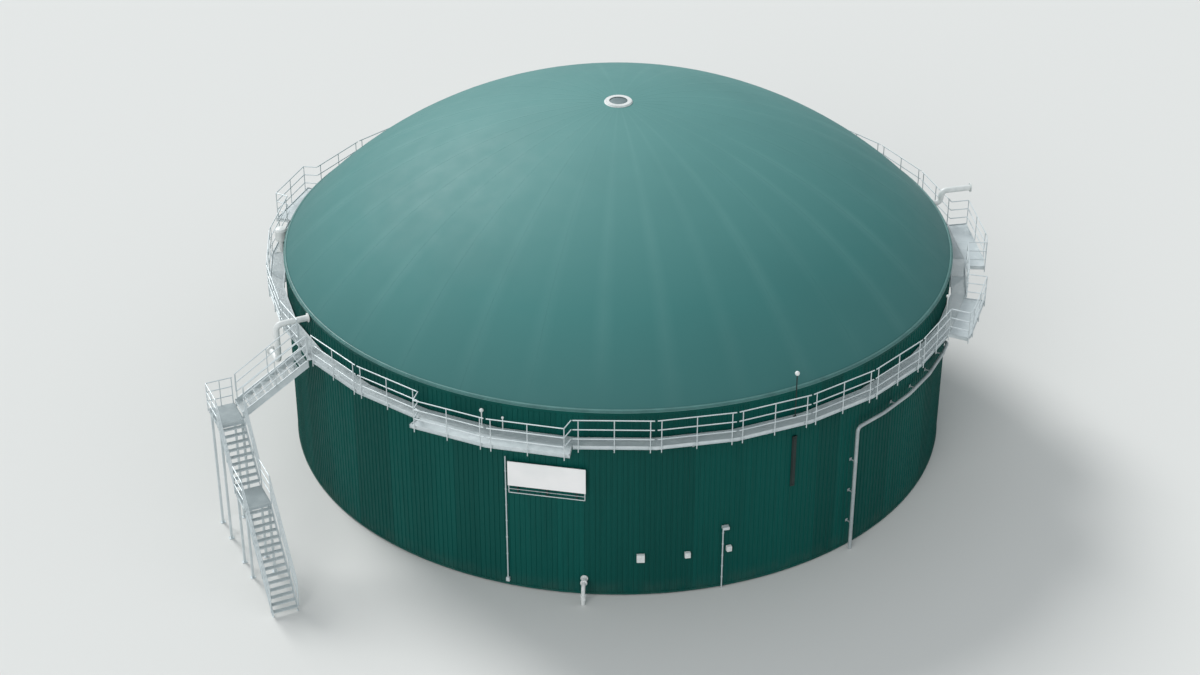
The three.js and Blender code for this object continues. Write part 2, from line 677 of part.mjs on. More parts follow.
function buildSign() {
  const width = 2900;
  const [bottom, top] = [4680, 5730];
  const azimuth = -10.1;
  const back = CLADDING_OUTER_R + 62;
  const tilt = rad(azimuth - facetCentre(azimuth));
  const postHalf = 40;
  const seat = (WALL_FACE + postHalf * Math.sin(Math.abs(tilt))) / Math.cos(tilt) + GAP;
  const plate = boxBetween([back + GAP, -width / 2, bottom], [back + 30, width / 2, top]);
  addNode('sign_plate', radially(plate, azimuth), FINISH.plate);
  const rails = [bottom - 330, bottom + 150, top - 210].map((z) => boxBetween(
    [CLADDING_OUTER_R + 15, -width / 2 + 20, z], [back, width / 2 - 20, z + 60]));
  const post = boxBetween([seat, -postHalf, bottom - 330], [back - 5, postHalf, top - 150]);
  addNode('sign_frame', radially(join([...rails, post]), azimuth), FINISH.dark);
}

function buildWallLines() {
  const clip = (z) => boxBetween([0, -30, z], [60, 30, z + 40]);
  const left = [pipe([v3(60, 0, 300), v3(60, 0, 5860)], 26, 0, 8),
    boxBetween([0, -70, 250], [120, 70, 420])];
  addNode('wall_conduit_left', onWall(join([...left, ...[1500, 3000, 4400].map(clip)]), -16.7),
    FINISH.galvanised);
  const right = [pipe([v3(60, 0, 0), v3(60, 0, 2760)], 26, 0, 8),
    boxBetween([20, -60, 2740], [230, 200, 2860])];
  addNode('wall_conduit_right', onWall(join([...right, ...[500, 1500, 2500].map(clip)]), 17.6),
    FINISH.galvanised);
  [4.5, 11.9, 18.6].forEach((azimuth, i) => {
    addNode(`switch_box_${i + 1}`, onWall(boxBetween([0, -150, 1600], [160, 150, 1920]), azimuth),
      FINISH.whitePaint);
  });
  addNode('level_gauge', onWall(boxBetween([0, -90, 3900], [70, 90, 6090]), 29.4), FINISH.dark);
}

function buildServicePipe() {
  const radius = 70;
  const line = CLADDING_OUTER_R + 250;
  const z = 5540;
  const route = [polar(41.4, line, 0), polar(41.4, line, z)];
  for (let azimuth = 47.5; azimuth < 70; azimuth += 7.2) route.push(polar(azimuth, line, z));
  route.push(polar(73, line, z), polar(73, CLADDING_OUTER_R + 20, z));
  const arm = (azimuth, height) => onWall(boxBetween([0, -25, height], [240, 25, height + 50]), azimuth);
  const arms = [arm(41.4, 2600), arm(51, z - 25), arm(63, z - 25)];
  addNode('service_pipe', join([pipe(route, radius, 180, 8), ...arms]), FINISH.greyPipe);
}

// The drain pipe at the front: a wall flange, an elbow to the ground and a valve body
function buildDrainPipe() {
  const run = pipe([v3(10, 0, 760), v3(620, 0, 760), v3(620, 0, 0)], 75, 160, 8);
  const pieces = [run, flangeX(140, 30, 15, 0, 760), flangeX(130, 40, 300, 0, 760),
    boxBetween([540, -110, 250], [700, 110, 470])];
  addNode('drain_pipe', onWall(join(pieces), -4.3), FINISH.whitePaint);
}

function buildGasPipes() {
  const radius = 120;
  const outlet = 7955;
  const joint = flangeX(180, 40, 65, 0, outlet);
  const left = pipe([v3(0, 0, outlet), v3(1350, 0, outlet), v3(1350, 0, 6350), v3(1350, -900, 6350)],
    radius, 230, 10);
  const leftEnd = new THREE.CylinderGeometry(190, 190, 40, 12).translate(1350, -900, 6350);
  addNode('gas_pipe_left', onWall(join([left, joint, leftEnd]), -60), FINISH.whitePaint);
  const lift = DECK_Z + RAIL_HEIGHT + 300;
  const right = pipe([v3(0, 0, outlet), v3(420, 0, outlet), v3(420, 0, lift), v3(1700, 0, lift)],
    radius, 230, 10);
  addNode('gas_pipe_right', onWall(join([right, joint, flangeX(190, 40, 1700, 0, lift)]), 104),
    FINISH.whitePaint);
}

function buildReliefValve() {
  const stand = uprightCylinder(110, DECK_Z + GAP, DECK_Z + 500);
  const pot = uprightCylinder(250, DECK_Z + 480, DECK_Z + 1050, 20);
  const foot = box(420, 420, 20, 0, 0, DECK_Z + GAP + 10);
  addNode('pressure_relief', radially(join([stand, pot, foot]).translate(13810, 0, 0), -91), FINISH.whitePaint);
}

function buildSensors() {
  const rod = (azimuth, height, ball) => radially(join([
    uprightCylinder(22, DECK_Z + GAP, DECK_Z + height, 8),
    box(120, 120, 12, 0, 0, DECK_Z + GAP + 6),
    new THREE.SphereGeometry(ball, 8, 5).translate(0, 0, DECK_Z + height + ball * 0.6),
  ]).translate(13690, 0, 0), azimuth);
  addNode('level_sensor', rod(28.8, 1780, 90), FINISH.dark);
  addNode('deck_lamp_1', rod(-20.1, 620, 80), FINISH.whitePaint);
  addNode('deck_lamp_2', rod(-16.7, 500, 50), FINISH.whitePaint);
  addNode('deck_lamp_3', rod(70.3, 850, 70), FINISH.whitePaint);
}

buildSlab();
buildWall();
buildRimRing();
buildCrown(buildDome());

const DECKS = [
  ['front_wide_deck', WIDE_FRONT, WIDE_DECK_OUTER_R],
  ['gallery_deck_front', [WIDE_FRONT[1], PLATFORM_FRONT[0]], GALLERY_OUTER_R],
  ['right_front_platform', PLATFORM_FRONT, PLATFORM_OUTER_R],
  ['gallery_deck_between', [PLATFORM_FRONT[1], PLATFORM_REAR[0]], GALLERY_OUTER_R],
  ['right_rear_platform', PLATFORM_REAR, PLATFORM_OUTER_R],
  ['gallery_deck_right', [PLATFORM_REAR[1], REAR_SPLIT], GALLERY_OUTER_R],
  ['gallery_deck_rear', [REAR_SPLIT, WIDE_REAR[0]], GALLERY_OUTER_R],
  ['rear_wide_deck', WIDE_REAR, WIDE_DECK_OUTER_R],
  ['gallery_deck_left', [WIDE_REAR[1], WIDE_FRONT[0] + 360], GALLERY_OUTER_R],
];
for (const [name, [from, to], outer] of DECKS) {
  const deck = galleryDeck(from, to, outer, DECK_Z);
  addNode(name, name === 'gallery_deck_left' ? withThreshold(deck) : deck, FINISH.galvanised);
}

const RAILINGS = [
  ['front_wide_railing', WIDE_FRONT, WIDE_DECK_OUTER_R, SLANTED],
  ['gallery_railing_front', [WIDE_FRONT[1], PLATFORM_FRONT[0]], GALLERY_OUTER_R, IN_LINE],
  ['right_front_platform_railing', PLATFORM_FRONT, PLATFORM_OUTER_R, SQUARE],
  ['gallery_railing_between', [PLATFORM_FRONT[1], PLATFORM_REAR[0]], GALLERY_OUTER_R, IN_LINE],
  ['right_rear_platform_railing', PLATFORM_REAR, PLATFORM_OUTER_R, SQUARE],
  ['gallery_railing_right', [PLATFORM_REAR[1], REAR_SPLIT], GALLERY_OUTER_R, IN_LINE],
  ['gallery_railing_rear', [REAR_SPLIT, WIDE_REAR[0]], GALLERY_OUTER_R, IN_LINE],
  ['rear_wide_railing', WIDE_REAR, WIDE_DECK_OUTER_R, SLANTED],
  ['gallery_railing_left', [WIDE_REAR[1], STAIR_OPENING[0]], GALLERY_OUTER_R, IN_LINE],
  ['gallery_railing_front_left', [STAIR_OPENING[1], WIDE_FRONT[0] + 360], GALLERY_OUTER_R, IN_LINE],
];
for (const [name, [from, to], outer, ending] of RAILINGS) {
  addNode(name, railing(from + 0.05, to - 0.05, outer, DECK_Z, ending), FINISH.galvanised);
}

buildMainStair();
buildMainStairRails();
buildTopFlight();
buildSign();
buildWallLines();
buildServicePipe();
buildDrainPipe();
buildGasPipes();
buildReliefValve();
buildSensors();

export default part;
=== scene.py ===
"""Looks of a biogas digester: ribbed wall, membrane dome, grating galleries, stair and pipework.

Metres, +Z up, origin on the ground at the tank's centre, front towards -Y.
"""
import logging
import math
from dataclasses import dataclass, replace
from enum import Enum
from typing import Iterable, Optional, Sequence

import bpy
from bpy.types import Material, Node, NodeSocket, Object
from mathutils import Matrix, Vector


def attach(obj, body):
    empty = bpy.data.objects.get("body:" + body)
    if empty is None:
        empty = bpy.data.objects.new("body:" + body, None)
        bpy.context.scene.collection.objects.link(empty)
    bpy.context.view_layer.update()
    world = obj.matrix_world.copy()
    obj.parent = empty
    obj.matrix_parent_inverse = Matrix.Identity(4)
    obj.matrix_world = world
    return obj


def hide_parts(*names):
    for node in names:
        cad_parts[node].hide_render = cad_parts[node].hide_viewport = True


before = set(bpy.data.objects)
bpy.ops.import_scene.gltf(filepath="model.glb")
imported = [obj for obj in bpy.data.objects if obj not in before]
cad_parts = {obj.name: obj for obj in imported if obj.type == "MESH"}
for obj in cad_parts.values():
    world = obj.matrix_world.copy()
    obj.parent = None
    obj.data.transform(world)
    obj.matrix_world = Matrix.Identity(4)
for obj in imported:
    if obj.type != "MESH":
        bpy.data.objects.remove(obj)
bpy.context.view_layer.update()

LOG = logging.getLogger("digester")
Colour = tuple[float, float, float, float]
Point = Sequence[float]
Profile = Sequence[tuple[float, float]]

# Driving sizes of the tank; azimuths are degrees from the front towards the right side
FIRST_KINK = -5.7
BAY = 12.0
FACET = 6.0
WALL_R = 13.5
WALL_FACE = WALL_R * math.cos(math.radians(FACET / 2))
WALL_TOP = 8.0797
RIM_Z = 8.19
DOME_FOOT_R = 13.4
DOME_RISE = 5.8
GORES = 32
SEAM = FIRST_KINK + 3.75
CROWN_R = 0.56
RING_STEPS = 192

# Driving sizes of the gallery
DECK_Z = 7.07
GALLERY_R = 14.12
WIDE_DECK_R = 14.7
PLATFORM_R = 14.88
DECK_INNER_R = 13.515
BAND_UP = 0.03
BAND_DOWN = 0.12
BAND_DEPTH = 0.04
BAR_PITCH = 0.0343
BAR_DEPTH = 0.03
ROD_PITCH = 0.0381
ROD = 0.006
RAIL_HEIGHT = 1.13
RAIL_DROPS = (0.0, 0.39, 0.78)
TUBE_R = 0.0215
TUBE_INSET = 0.022
POST_R = 0.019
POST_LINE = 0.018
POST_INSET = 0.2
KINK_GAP = 0.1
WIDE_FRONT = (FIRST_KINK - 2 * BAY, FIRST_KINK)
PLATFORM_FRONT = (64.9, 77.0)
PLATFORM_REAR = (87.6, FIRST_KINK + 9 * BAY)
REAR_SPLIT = FIRST_KINK + 15 * BAY
WIDE_REAR = (FIRST_KINK + 21 * BAY, FIRST_KINK + 22 * BAY)
LEFT_END = WIDE_FRONT[0] + 360
STAIR_OPENING = (301.4, 306.6)

# Driving sizes of the stair
STAIR_TURN = 26.1
LANDING_CENTRE = (-14.655, -9.426)
LANDING_LENGTH = 1.3
MID_LANDING_LENGTH = 1.2
RISE = DECK_Z / 35
LOWER_RISERS = 16
MIDDLE_RISERS = 10
UPPER_RISERS = 9
GOING = 0.175
UPPER_GOING = 0.34
FLIGHT_WIDTH = 1.0

# Small clearances and the turns and places that many pieces share
GAP = 0.0003
HERE = Matrix()
OUTWARDS = Matrix.Rotation(math.pi / 2, 4, "Y")
CORNERS = ((-1, -1), (-1, 1), (1, -1), (1, 1))


class Slot(Enum):
    """Material slots of the record."""

    CONCRETE = "concrete"
    CLADDING = "cladding_sheet"
    MEMBRANE = "membrane"
    CLAMP = "clamp_ring"
    STEEL = "galvanised_steel"
    WHITE = "white_paint"
    SIGN = "sign_panel"
    DARK = "dark_fittings"
    PIPE = "grey_pipe"


def linear(red: float, green: float, blue: float) -> Colour:
    """Turns display values from 0 to 255 into a linear colour with full opacity."""
    shares = [value / 255 for value in (red, green, blue)]
    return (*(s / 12.92 if s <= 0.04045 else ((s + 0.055) / 1.055) ** 2.4 for s in shares), 1.0)


def around(azimuth: float, radius: float, z: float) -> Vector:
    """Finds the point of the ring at an azimuth, a distance from the tank's axis and a height."""
    angle = math.radians(azimuth)
    return Vector((radius * math.sin(angle), -radius * math.cos(angle), z))


def shift(x: float, y: float, z: float) -> Matrix:
    """Moves a piece by x, y and z."""
    return Matrix.Translation((x, y, z))


def facing(azimuth: float) -> Matrix:
    """Turns local x outwards at an azimuth; local y then runs along the ring."""
    return Matrix.Rotation(math.radians(azimuth - 90), 4, "Z")


def on_wall(azimuth: float) -> Matrix:
    """Places a fitting's frame on the wall: x out of the wall, y along it.

    Args:
        azimuth: Azimuth of the fitting.

    Returns:
        The placement.
    """
    centre = FIRST_KINK + (math.floor((azimuth - FIRST_KINK) / FACET) + 0.5) * FACET
    along = WALL_FACE * math.tan(math.radians(azimuth - centre))
    return facing(centre) @ shift(WALL_FACE + GAP, along, 0)


def on_stair() -> Matrix:
    """Places the stair's frame: +Y up the main flights, +X from the landing to the tank."""
    return shift(*LANDING_CENTRE, 0) @ Matrix.Rotation(math.radians(STAIR_TURN), 4, "Z")


def evenly(start: float, end: float, count: int) -> tuple[float, ...]:
    """Spreads a count of places evenly from start to end."""
    return tuple(start + (end - start) * i / (count - 1) for i in range(count))


@dataclass(frozen=True)
class Span:
    """A stretch of the ring between two azimuths."""

    start: float
    end: float

    def bays(self) -> list[tuple[float, float, float]]:
        """Lists the bays met by the span.

        Returns:
            The start, end and centre azimuth of each bay, its ends cut to the span.
        """
        first = math.floor((self.start - FIRST_KINK) / BAY + 1e-6)
        last = math.ceil((self.end - FIRST_KINK) / BAY - 1e-6)
        kinks = [FIRST_KINK + index * BAY for index in range(first, last)]
        return [(max(kink, self.start), min(kink + BAY, self.end), kink + BAY / 2) for kink in kinks]


class Bench:
    """Modelling moves: each starts from a primitive and shapes it in edit mode."""

    merge_distance = 1e-5
    straight = 1e-4
    end_chamfer = 0.12

    @staticmethod
    def free() -> None:
        """Leaves edit mode and deselects everything."""
        if bpy.context.mode != "OBJECT":
            bpy.ops.object.mode_set(mode="OBJECT")
        bpy.ops.object.select_all(action="DESELECT")

    @classmethod
    def pick(cls, *pieces: Object) -> Object:
        """Selects pieces alone.

        Args:
            pieces: Pieces to select; the first becomes the active one.

        Returns:
            The first piece.
        """
        cls.free()
        for piece in pieces:
            piece.select_set(True)
        bpy.context.view_layer.objects.active = pieces[0]
        return pieces[0]

    @staticmethod
    def edit() -> None:
        """Opens the active object with all of it selected."""
        bpy.ops.object.mode_set(mode="EDIT")
        bpy.ops.mesh.select_all(action="SELECT")

    @classmethod
    def closed(cls) -> Object:
        """Merges seams, turns faces outwards and leaves edit mode.

        Returns:
            The shaped object.
        """
        bpy.ops.mesh.select_all(action="SELECT")
        bpy.ops.mesh.remove_doubles(threshold=cls.merge_distance)
        bpy.ops.mesh.normals_make_consistent(inside=False)
        bpy.ops.object.mode_set(mode="OBJECT")
        return bpy.context.object

    @staticmethod
    def pull(step: Point) -> None:
        """Extrudes what is selected by a step."""
        bpy.ops.mesh.extrude_region_move(TRANSFORM_OT_translate={"value": Vector(step)})

    @staticmethod
    def swell(factor: float, centre: Point) -> None:
        """Scales the selected face by a factor about a point."""
        bpy.ops.transform.resize(value=(factor, factor, factor), center_override=tuple(centre))

    @classmethod
    def block(cls, low: Point, high: Point, bevel: float) -> Object:
        """Models a bar with softened edges.

        Args:
            low: Lowest corner.
            high: Highest corner.
            bevel: Width of the softened edges; 0 leaves them sharp.

        Returns:
            The bar.
        """
        cls.free()
        near, far = Vector(low), Vector(high)
        bpy.ops.mesh.primitive_cube_add(size=1, location=(near + far) / 2, scale=far - near)
        bpy.ops.object.transform_apply(location=True, rotation=True, scale=True)
        if bevel > 0:
            cls.edit()
            bpy.ops.mesh.bevel(offset=bevel, segments=1, affect="EDGES")
            bpy.ops.object.mode_set(mode="OBJECT")
        return bpy.context.object

    @classmethod
    def bar_row(cls, low: Point, high: Point, step: Point, count: int) -> Object:
        """Repeats a sharp-edged bar in a straight row.

        Args:
            low: Lowest corner of the first bar.
            high: Highest corner of the first bar.
            step: Distance from one bar to the next.
            count: How many.

        Returns:
            The row.
        """
        bars = cls.pick(cls.block(low, high, 0))
        rank = bars.modifiers.new("row", "ARRAY")
        rank.use_relative_offset = False
        rank.use_constant_offset = True
        rank.constant_offset_displace = step
        rank.count = count
        bpy.ops.object.modifier_apply(modifier="row")
        return bars

    @classmethod
    def draw(cls, points: Iterable[Point], face: bool = True) -> None:
        """Draws an outline by pulling one vertex along, and stays in edit mode.

        Args:
            points: Corners in order.
            face: Whether the outline is closed and filled.
        """
        cls.free()
        line = [Vector(point) for point in points]
        bpy.ops.mesh.primitive_plane_add(size=1, location=(0, 0, 0))
        cls.edit()
        bpy.ops.mesh.merge(type="CENTER")
        bpy.ops.transform.translate(value=line[0])
        for here, after in zip(line, line[1:]):
            bpy.ops.mesh.extrude_vertices_move(TRANSFORM_OT_translate={"value": after - here})
        bpy.ops.mesh.select_all(action="SELECT")
        if face:
            bpy.ops.mesh.edge_face_add()

    @classmethod
    def prism(cls, points: Iterable[Point], depth: Point) -> Object:
        """Pulls a flat outline into a plate.

        Args:
            points: Corners of the outline.
            depth: Direction and length of the pull.

        Returns:
            The plate.
        """
        cls.draw(points)
        cls.pull(depth)
        return cls.closed()

    @classmethod
    def sheet(cls, points: Iterable[Point], depth: Point, gauge: float) -> Object:
        """Pulls an open line into a thin sheet.

        Args:
            points: Points of the line.
            depth: Direction and length of the pull.
            gauge: Thickness of the sheet.

        Returns:
            The sheet.
        """
        cls.draw(points, face=False)
        cls.pull(depth)
        bpy.ops.object.mode_set(mode="OBJECT")
        wall = bpy.context.object.modifiers.new("gauge", "SOLIDIFY")
        wall.thickness = gauge
        wall.offset = 0
        bpy.ops.object.modifier_apply(modifier="gauge")
        cls.edit()
        return cls.closed()

    @classmethod
    def spin(cls, points: Iterable[Point], steps: int, angle: float) -> None:
        """Spins a closed outline about the tank's axis, and stays in edit mode.

        Args:
            points: Corners of the outline.
            steps: Segments of the turn.
            angle: Angle of the turn in radians.
        """
        cls.draw(points)
        bpy.ops.mesh.delete(type="ONLY_FACE")
        bpy.ops.mesh.select_all(action="SELECT")
        bpy.ops.mesh.spin(steps=steps, angle=angle, center=(0, 0, 0), axis=(0, 0, 1))

    @classmethod
    def lathe(cls, profile: Profile, steps: int = RING_STEPS) -> Object:
        """Turns a closed (radius, z) profile once round the tank's axis, in so many steps."""
        cls.spin([around(FIRST_KINK, r, z) for r, z in profile], steps, 2 * math.pi)
        return cls.closed()

    @classmethod
    def trim(cls, low: float, high: float) -> None:
        """Cuts the open object along two radial planes and closes the cuts.

        Args:
            low: Azimuth where the object begins.
            high: Azimuth where it ends.
        """
        for azimuth, after in ((low, False), (high, True)):
            angle = math.radians(azimuth)
            bpy.ops.mesh.select_all(action="SELECT")
            bpy.ops.mesh.bisect(plane_co=(0, 0, 0), plane_no=(math.cos(angle), math.sin(angle), 0),
                                use_fill=True, clear_outer=after, clear_inner=not after)

    @classmethod
    def ring_section(cls, profile: Profile, span: Span) -> Object:
        """Runs a (radius, z) section round a span with a corner at every kink, from one bay before it.

        Args:
            profile: Closed section; radii are measured at the middle of a bay.
            span: Stretch of the ring.

        Returns:
            The piece, trimmed to the span.
        """
        grow = 1 / math.cos(math.radians(BAY / 2))
        bays = span.bays()
        start, count = bays[0][2] - 1.5 * BAY, len(bays) + 2
        cls.spin([around(start, r * grow, z) for r, z in profile], count, -math.radians(count * BAY))
        cls.trim(span.start, span.end)
        return cls.closed()

    @classmethod
    def disc(cls, radius: float, sides: int, centre: Point, turn: Point = (0, 0, 0)) -> None:
        """Adds a filled circle and opens it.

        Args:
            radius: Its radius.
            sides: Its sides.
            centre: Its centre.
            turn: Euler angles that point its axis.
        """
        cls.free()
        bpy.ops.mesh.primitive_circle_add(vertices=sides, radius=radius, fill_type="NGON", location=centre,
                                          rotation=turn)
        bpy.ops.object.transform_apply(location=True, rotation=True, scale=True)
        cls.edit()

    @classmethod
    def pipe(cls, points: Iterable[Point], radius: float, bend: float = 0.0, sides: int = 10,
             steps: int = 4) -> Object:
        """Models a round pipe along straight runs joined by round bends, with chamfered ends.

        Args:
            points: Corners of the centre line.
            radius: Outer radius.
            bend: Bend radius at the corners.
            sides: Sides of the section.
            steps: Segments of a bend.

        Returns:
            The pipe.
        """
        line = [Vector(point) for point in points]
        heads = [(b - a).normalized() for a, b in zip(line, line[1:])]
        chamfer = radius * cls.end_chamfer
        cls.disc(radius - chamfer, sides, line[0], heads[0].to_track_quat("Z", "Y").to_euler())
        cls.pull(heads[0] * chamfer)
        cls.swell(radius / (radius - chamfer), line[0] + heads[0] * chamfer)
        used = chamfer
        for index, head in enumerate(heads):
            last = index == len(heads) - 1
            turn = 0.0 if last else head.angle(heads[index + 1])
            cut = chamfer if last else bend * math.tan(turn / 2)
            cls.pull(head * ((line[index + 1] - line[index]).length - used - cut))
            if turn > cls.straight:
                axis = head.cross(heads[index + 1]).normalized()
                centre = line[index + 1] - head * cut + axis.cross(head) * bend
                bpy.ops.mesh.spin(steps=steps, angle=-turn, center=centre, axis=axis)
            used = cut
        cls.pull(heads[-1] * chamfer)
        cls.swell((radius - chamfer) / radius, line[-1])
        return cls.closed()

    @classmethod
    def stack(cls, rings: Profile, sides: int, at: Point = (0, 0, 0)) -> Object:
        """Models an upright turned piece ring by ring.

        Args:
            rings: Radius and height of each ring, from the foot up.
            sides: Sides of the section.
            at: Foot point of the axis.

        Returns:
            The piece.
        """
        base = Vector(at)
        radius, z = rings[0]
        cls.disc(radius, sides, base + Vector((0, 0, z)))
        for next_radius, next_z in rings[1:]:
            cls.pull((0, 0, next_z - z))
            cls.swell(next_radius / radius, base + Vector((0, 0, next_z)))
            radius, z = next_radius, next_z
        return cls.closed()

    @classmethod
    def bolt(cls, radius: float) -> Object:
        """Models a hexagon head on its washer, pointing up from the origin.

        Args:
            radius: Half the head's width over its corners.

        Returns:
            The bolt head.
        """
        shares = ((1.5, 0), (1.5, 0.22), (1, 0.22), (1, 0.85), (0.8, 1))
        return cls.stack([(radius * wide, radius * high) for wide, high in shares], 6)

    @classmethod
    def bolts(cls, radius: float, places: Iterable[Matrix]) -> list[Object]:
        """Models bolt heads of a radius at their places."""
        return cls.copies(cls.bolt(radius), places)

    @staticmethod
    def place(piece: Object, matrix: Matrix) -> Object:
        """Moves a piece by its vertices, so that its object stays at the origin.

        Args:
            piece: Piece to move.
            matrix: Placement.

        Returns:
            The same piece.
        """
        piece.data.transform(matrix)
        piece.data.update()
        return piece

    @classmethod
    def copies(cls, pattern: Object, matrices: Iterable[Matrix], keep: bool = False) -> list[Object]:
        """Copies a modelled piece, each copy with its own mesh.

        Args:
            pattern: Piece to copy; it is taken away afterwards.
            matrices: Placement of each copy.
            keep: Whether the pattern stays for further copies.

        Returns:
            The copies.
        """
        made = []
        for matrix in matrices:
            twin = pattern.copy()
            twin.data = pattern.data.copy()
            bpy.context.scene.collection.objects.link(twin)
            made.append(cls.place(twin, matrix))
        if not keep:
            bpy.data.objects.remove(pattern)
        return made

    @classmethod
    def join(cls, parts: Sequence[Object]) -> Object:
        """Joins parts into one object.

        Args:
            parts: Objects to join.

        Returns:
            The joined object.
        """
        joined = cls.pick(*parts)
        if len(parts) > 1:
            bpy.ops.object.join()
        return joined


class NodeBoard:
    """Wires a procedural material on object coordinates."""

    scatter = 437.5

    def __init__(self, name: str) -> None:
        """Starts an empty board.

        Args:
            name: Name of the material.
        """
        self.material = bpy.data.materials.new(name)
        self.material.use_nodes = True
        self.tree = self.material.node_tree
        self.shader = self.tree.nodes["Principled BSDF"]
        self.coordinates = self.tree.nodes.new("ShaderNodeTexCoord").outputs["Object"]

    def feed(self, target: NodeSocket, value: object) -> None:
        """Sets or wires an input.

        Args:
            target: The input.
            value: A plain value or a node's output.
        """
        if isinstance(value, NodeSocket):
            self.tree.links.new(value, target)
        else:
            target.default_value = value

    def set(self, socket: str, value: object) -> None:
        """Sets or wires a socket of the shader."""
        self.feed(self.shader.inputs[socket], value)

    def add(self, kind: str, **values: object) -> Node:
        """Adds a node.

        Args:
            kind: Kind of the node.
            values: Values or outputs for its inputs; _ stands for a blank in an input's name.

        Returns:
            The node.
        """
        node = self.tree.nodes.new(f"ShaderNode{kind}")
        for name, value in values.items():
            self.feed(node.inputs[name.replace("_", " ")], value)
        return node

    def noise(self, scale: float, stretch: Point = (1, 1, 1), detail: float = 4.0) -> NodeSocket:
        """Adds noise between 0 and 1, in grains per metre, stretched along each axis, in so many octaves."""
        mapping = self.add("Mapping", Scale=stretch, Vector=self.coordinates).outputs["Vector"]
        return self.add("TexNoise", Scale=scale, Detail=detail, Vector=mapping).outputs["Fac"]

    def math(self, operation: str, first: object, second: object = 0.0) -> NodeSocket:
        """Adds a calculation.

        Args:
            operation: Name of the operation.
            first: First value.
            second: Second value.

        Returns:
            The result.
        """
        node = self.add("Math")
        node.operation = operation
        self.feed(node.inputs[0], first)
        self.feed(node.inputs[1], second)
        return node.outputs[0]

    def times(self, first: object, second: object) -> NodeSocket:
        """Multiplies two values."""
        return self.math("MULTIPLY", first, second)

    def between(self, value: NodeSocket, low: float, high: float, start: float = 0.0,
                end: float = 1.0) -> NodeSocket:
        """Maps a value's range from low and high to start and end, clamped."""
        node = self.add("MapRange", Value=value, From_Min=low, From_Max=high, To_Min=start, To_Max=end)
        return node.outputs["Result"]

    def mix(self, share: object, first: object, second: object) -> NodeSocket:
        """Mixes two colours.

        Args:
            share: Share of the second colour.
            first: First colour.
            second: Second colour.

        Returns:
            The mixed colour.
        """
        node = self.add("Mix")
        node.data_type = "RGBA"
        for socket, value in ((0, share), (6, first), (7, second)):
            self.feed(node.inputs[socket], value)
        return node.outputs[2]

    def axis(self, name: str) -> NodeSocket:
        """Splits off the object coordinate X, Y or Z."""
        return self.add("SeparateXYZ", Vector=self.coordinates).outputs[name]

    def sectors(self, offset: float, width: float) -> NodeSocket:
        """Counts the sectors of the tank up to a point's azimuth.

        Args:
            offset: Degrees added to the azimuth.
            width: Width of a sector in degrees.

        Returns:
            The count, with its fraction.
        """
        angle = self.math("ARCTAN2", self.axis("X"), self.times(self.axis("Y"), -1.0))
        degrees = self.times(angle, 180 / math.pi)
        return self.math("DIVIDE", self.math("ADD", degrees, offset), width)

    def shuffle(self, number: NodeSocket) -> NodeSocket:
        """Gives each whole number a share of its own between 0 and 1."""
        return self.math("FRACT", self.times(self.math("SINE", number), self.scatter))

    def rough(self, scale: float, low: float, high: float) -> None:
        """Sets the roughness between low and high, in patches of a noise's scale."""
        self.set("Roughness", self.between(self.noise(scale), 0.3, 0.7, low, high))

    def bump(self, height: NodeSocket, strength: float, distance: float) -> None:
        """Roughens the surface by a height pattern, a share of the effect and a depth."""
        node = self.add("Bump", Strength=strength, Distance=distance, Height=height)
        self.set("Normal", node.outputs["Normal"])


@dataclass(frozen=True)
class Coat:
    """A plain finish with soft patches and fine grain."""

    name: str
    colour: Colour
    patch: Colour
    roughness: float
    metallic: float = 0.0
    patch_scale: float = 1.5
    unevenness: float = 0.06
    grain: float = 0.05
    grain_scale: float = 60.0
    grain_depth: float = 0.001

    def make(self) -> Material:
        """Wires the finish.

        Returns:
            The material.
        """
        board = NodeBoard(self.name)
        patches = board.between(board.noise(self.patch_scale, detail=5.0), 0.35, 0.7)
        board.set("Base Color", board.mix(patches, self.colour, self.patch))
        board.set("Metallic", self.metallic)
        board.rough(self.patch_scale * 3, self.roughness - self.unevenness, self.roughness + self.unevenness)
        board.bump(board.noise(self.grain_scale, detail=2.0), self.grain, self.grain_depth)
        return board.material


@dataclass(frozen=True)
class SheetCoat:
    """Coated wall sheet: each sheet a shade of its own, dust at the foot and faint rain streaks."""

    name: str
    colour: Colour
    shade: Colour
    dust: Colour
    sheet_angle: float
    shade_share: float = 0.55
    streak_share: float = 0.35
    dust_share: float = 0.5
    dust_low: float = 0.06
    dust_high: float = 0.75
    sheen: float = 0.15

    def make(self) -> Material:
        """Wires the finish.

        Returns:
            The material.
        """
        board = NodeBoard(self.name)
        tone = board.shuffle(board.math("FLOOR", board.sectors(360.0, self.sheet_angle)))
        base = board.mix(board.times(tone, self.shade_share), self.colour, self.shade)
        rain = board.noise(2.2, stretch=(1.6, 1.6, 0.12))
        base = board.mix(board.between(rain, 0.5, 0.75, 0.0, self.streak_share), base, self.shade)
        foot = board.between(board.axis("Z"), self.dust_low, self.dust_high, self.dust_share, 0.0)
        patchy = board.times(foot, board.between(board.noise(1.8), 0.3, 0.7))
        board.set("Base Color", board.mix(patchy, base, self.dust))
        board.set("Specular IOR Level", self.sheen)
        board.rough(3.0, 0.5, 0.62)
        board.bump(board.noise(1.3, stretch=(1, 1, 0.5)), 0.12, 0.01)
        return board.material


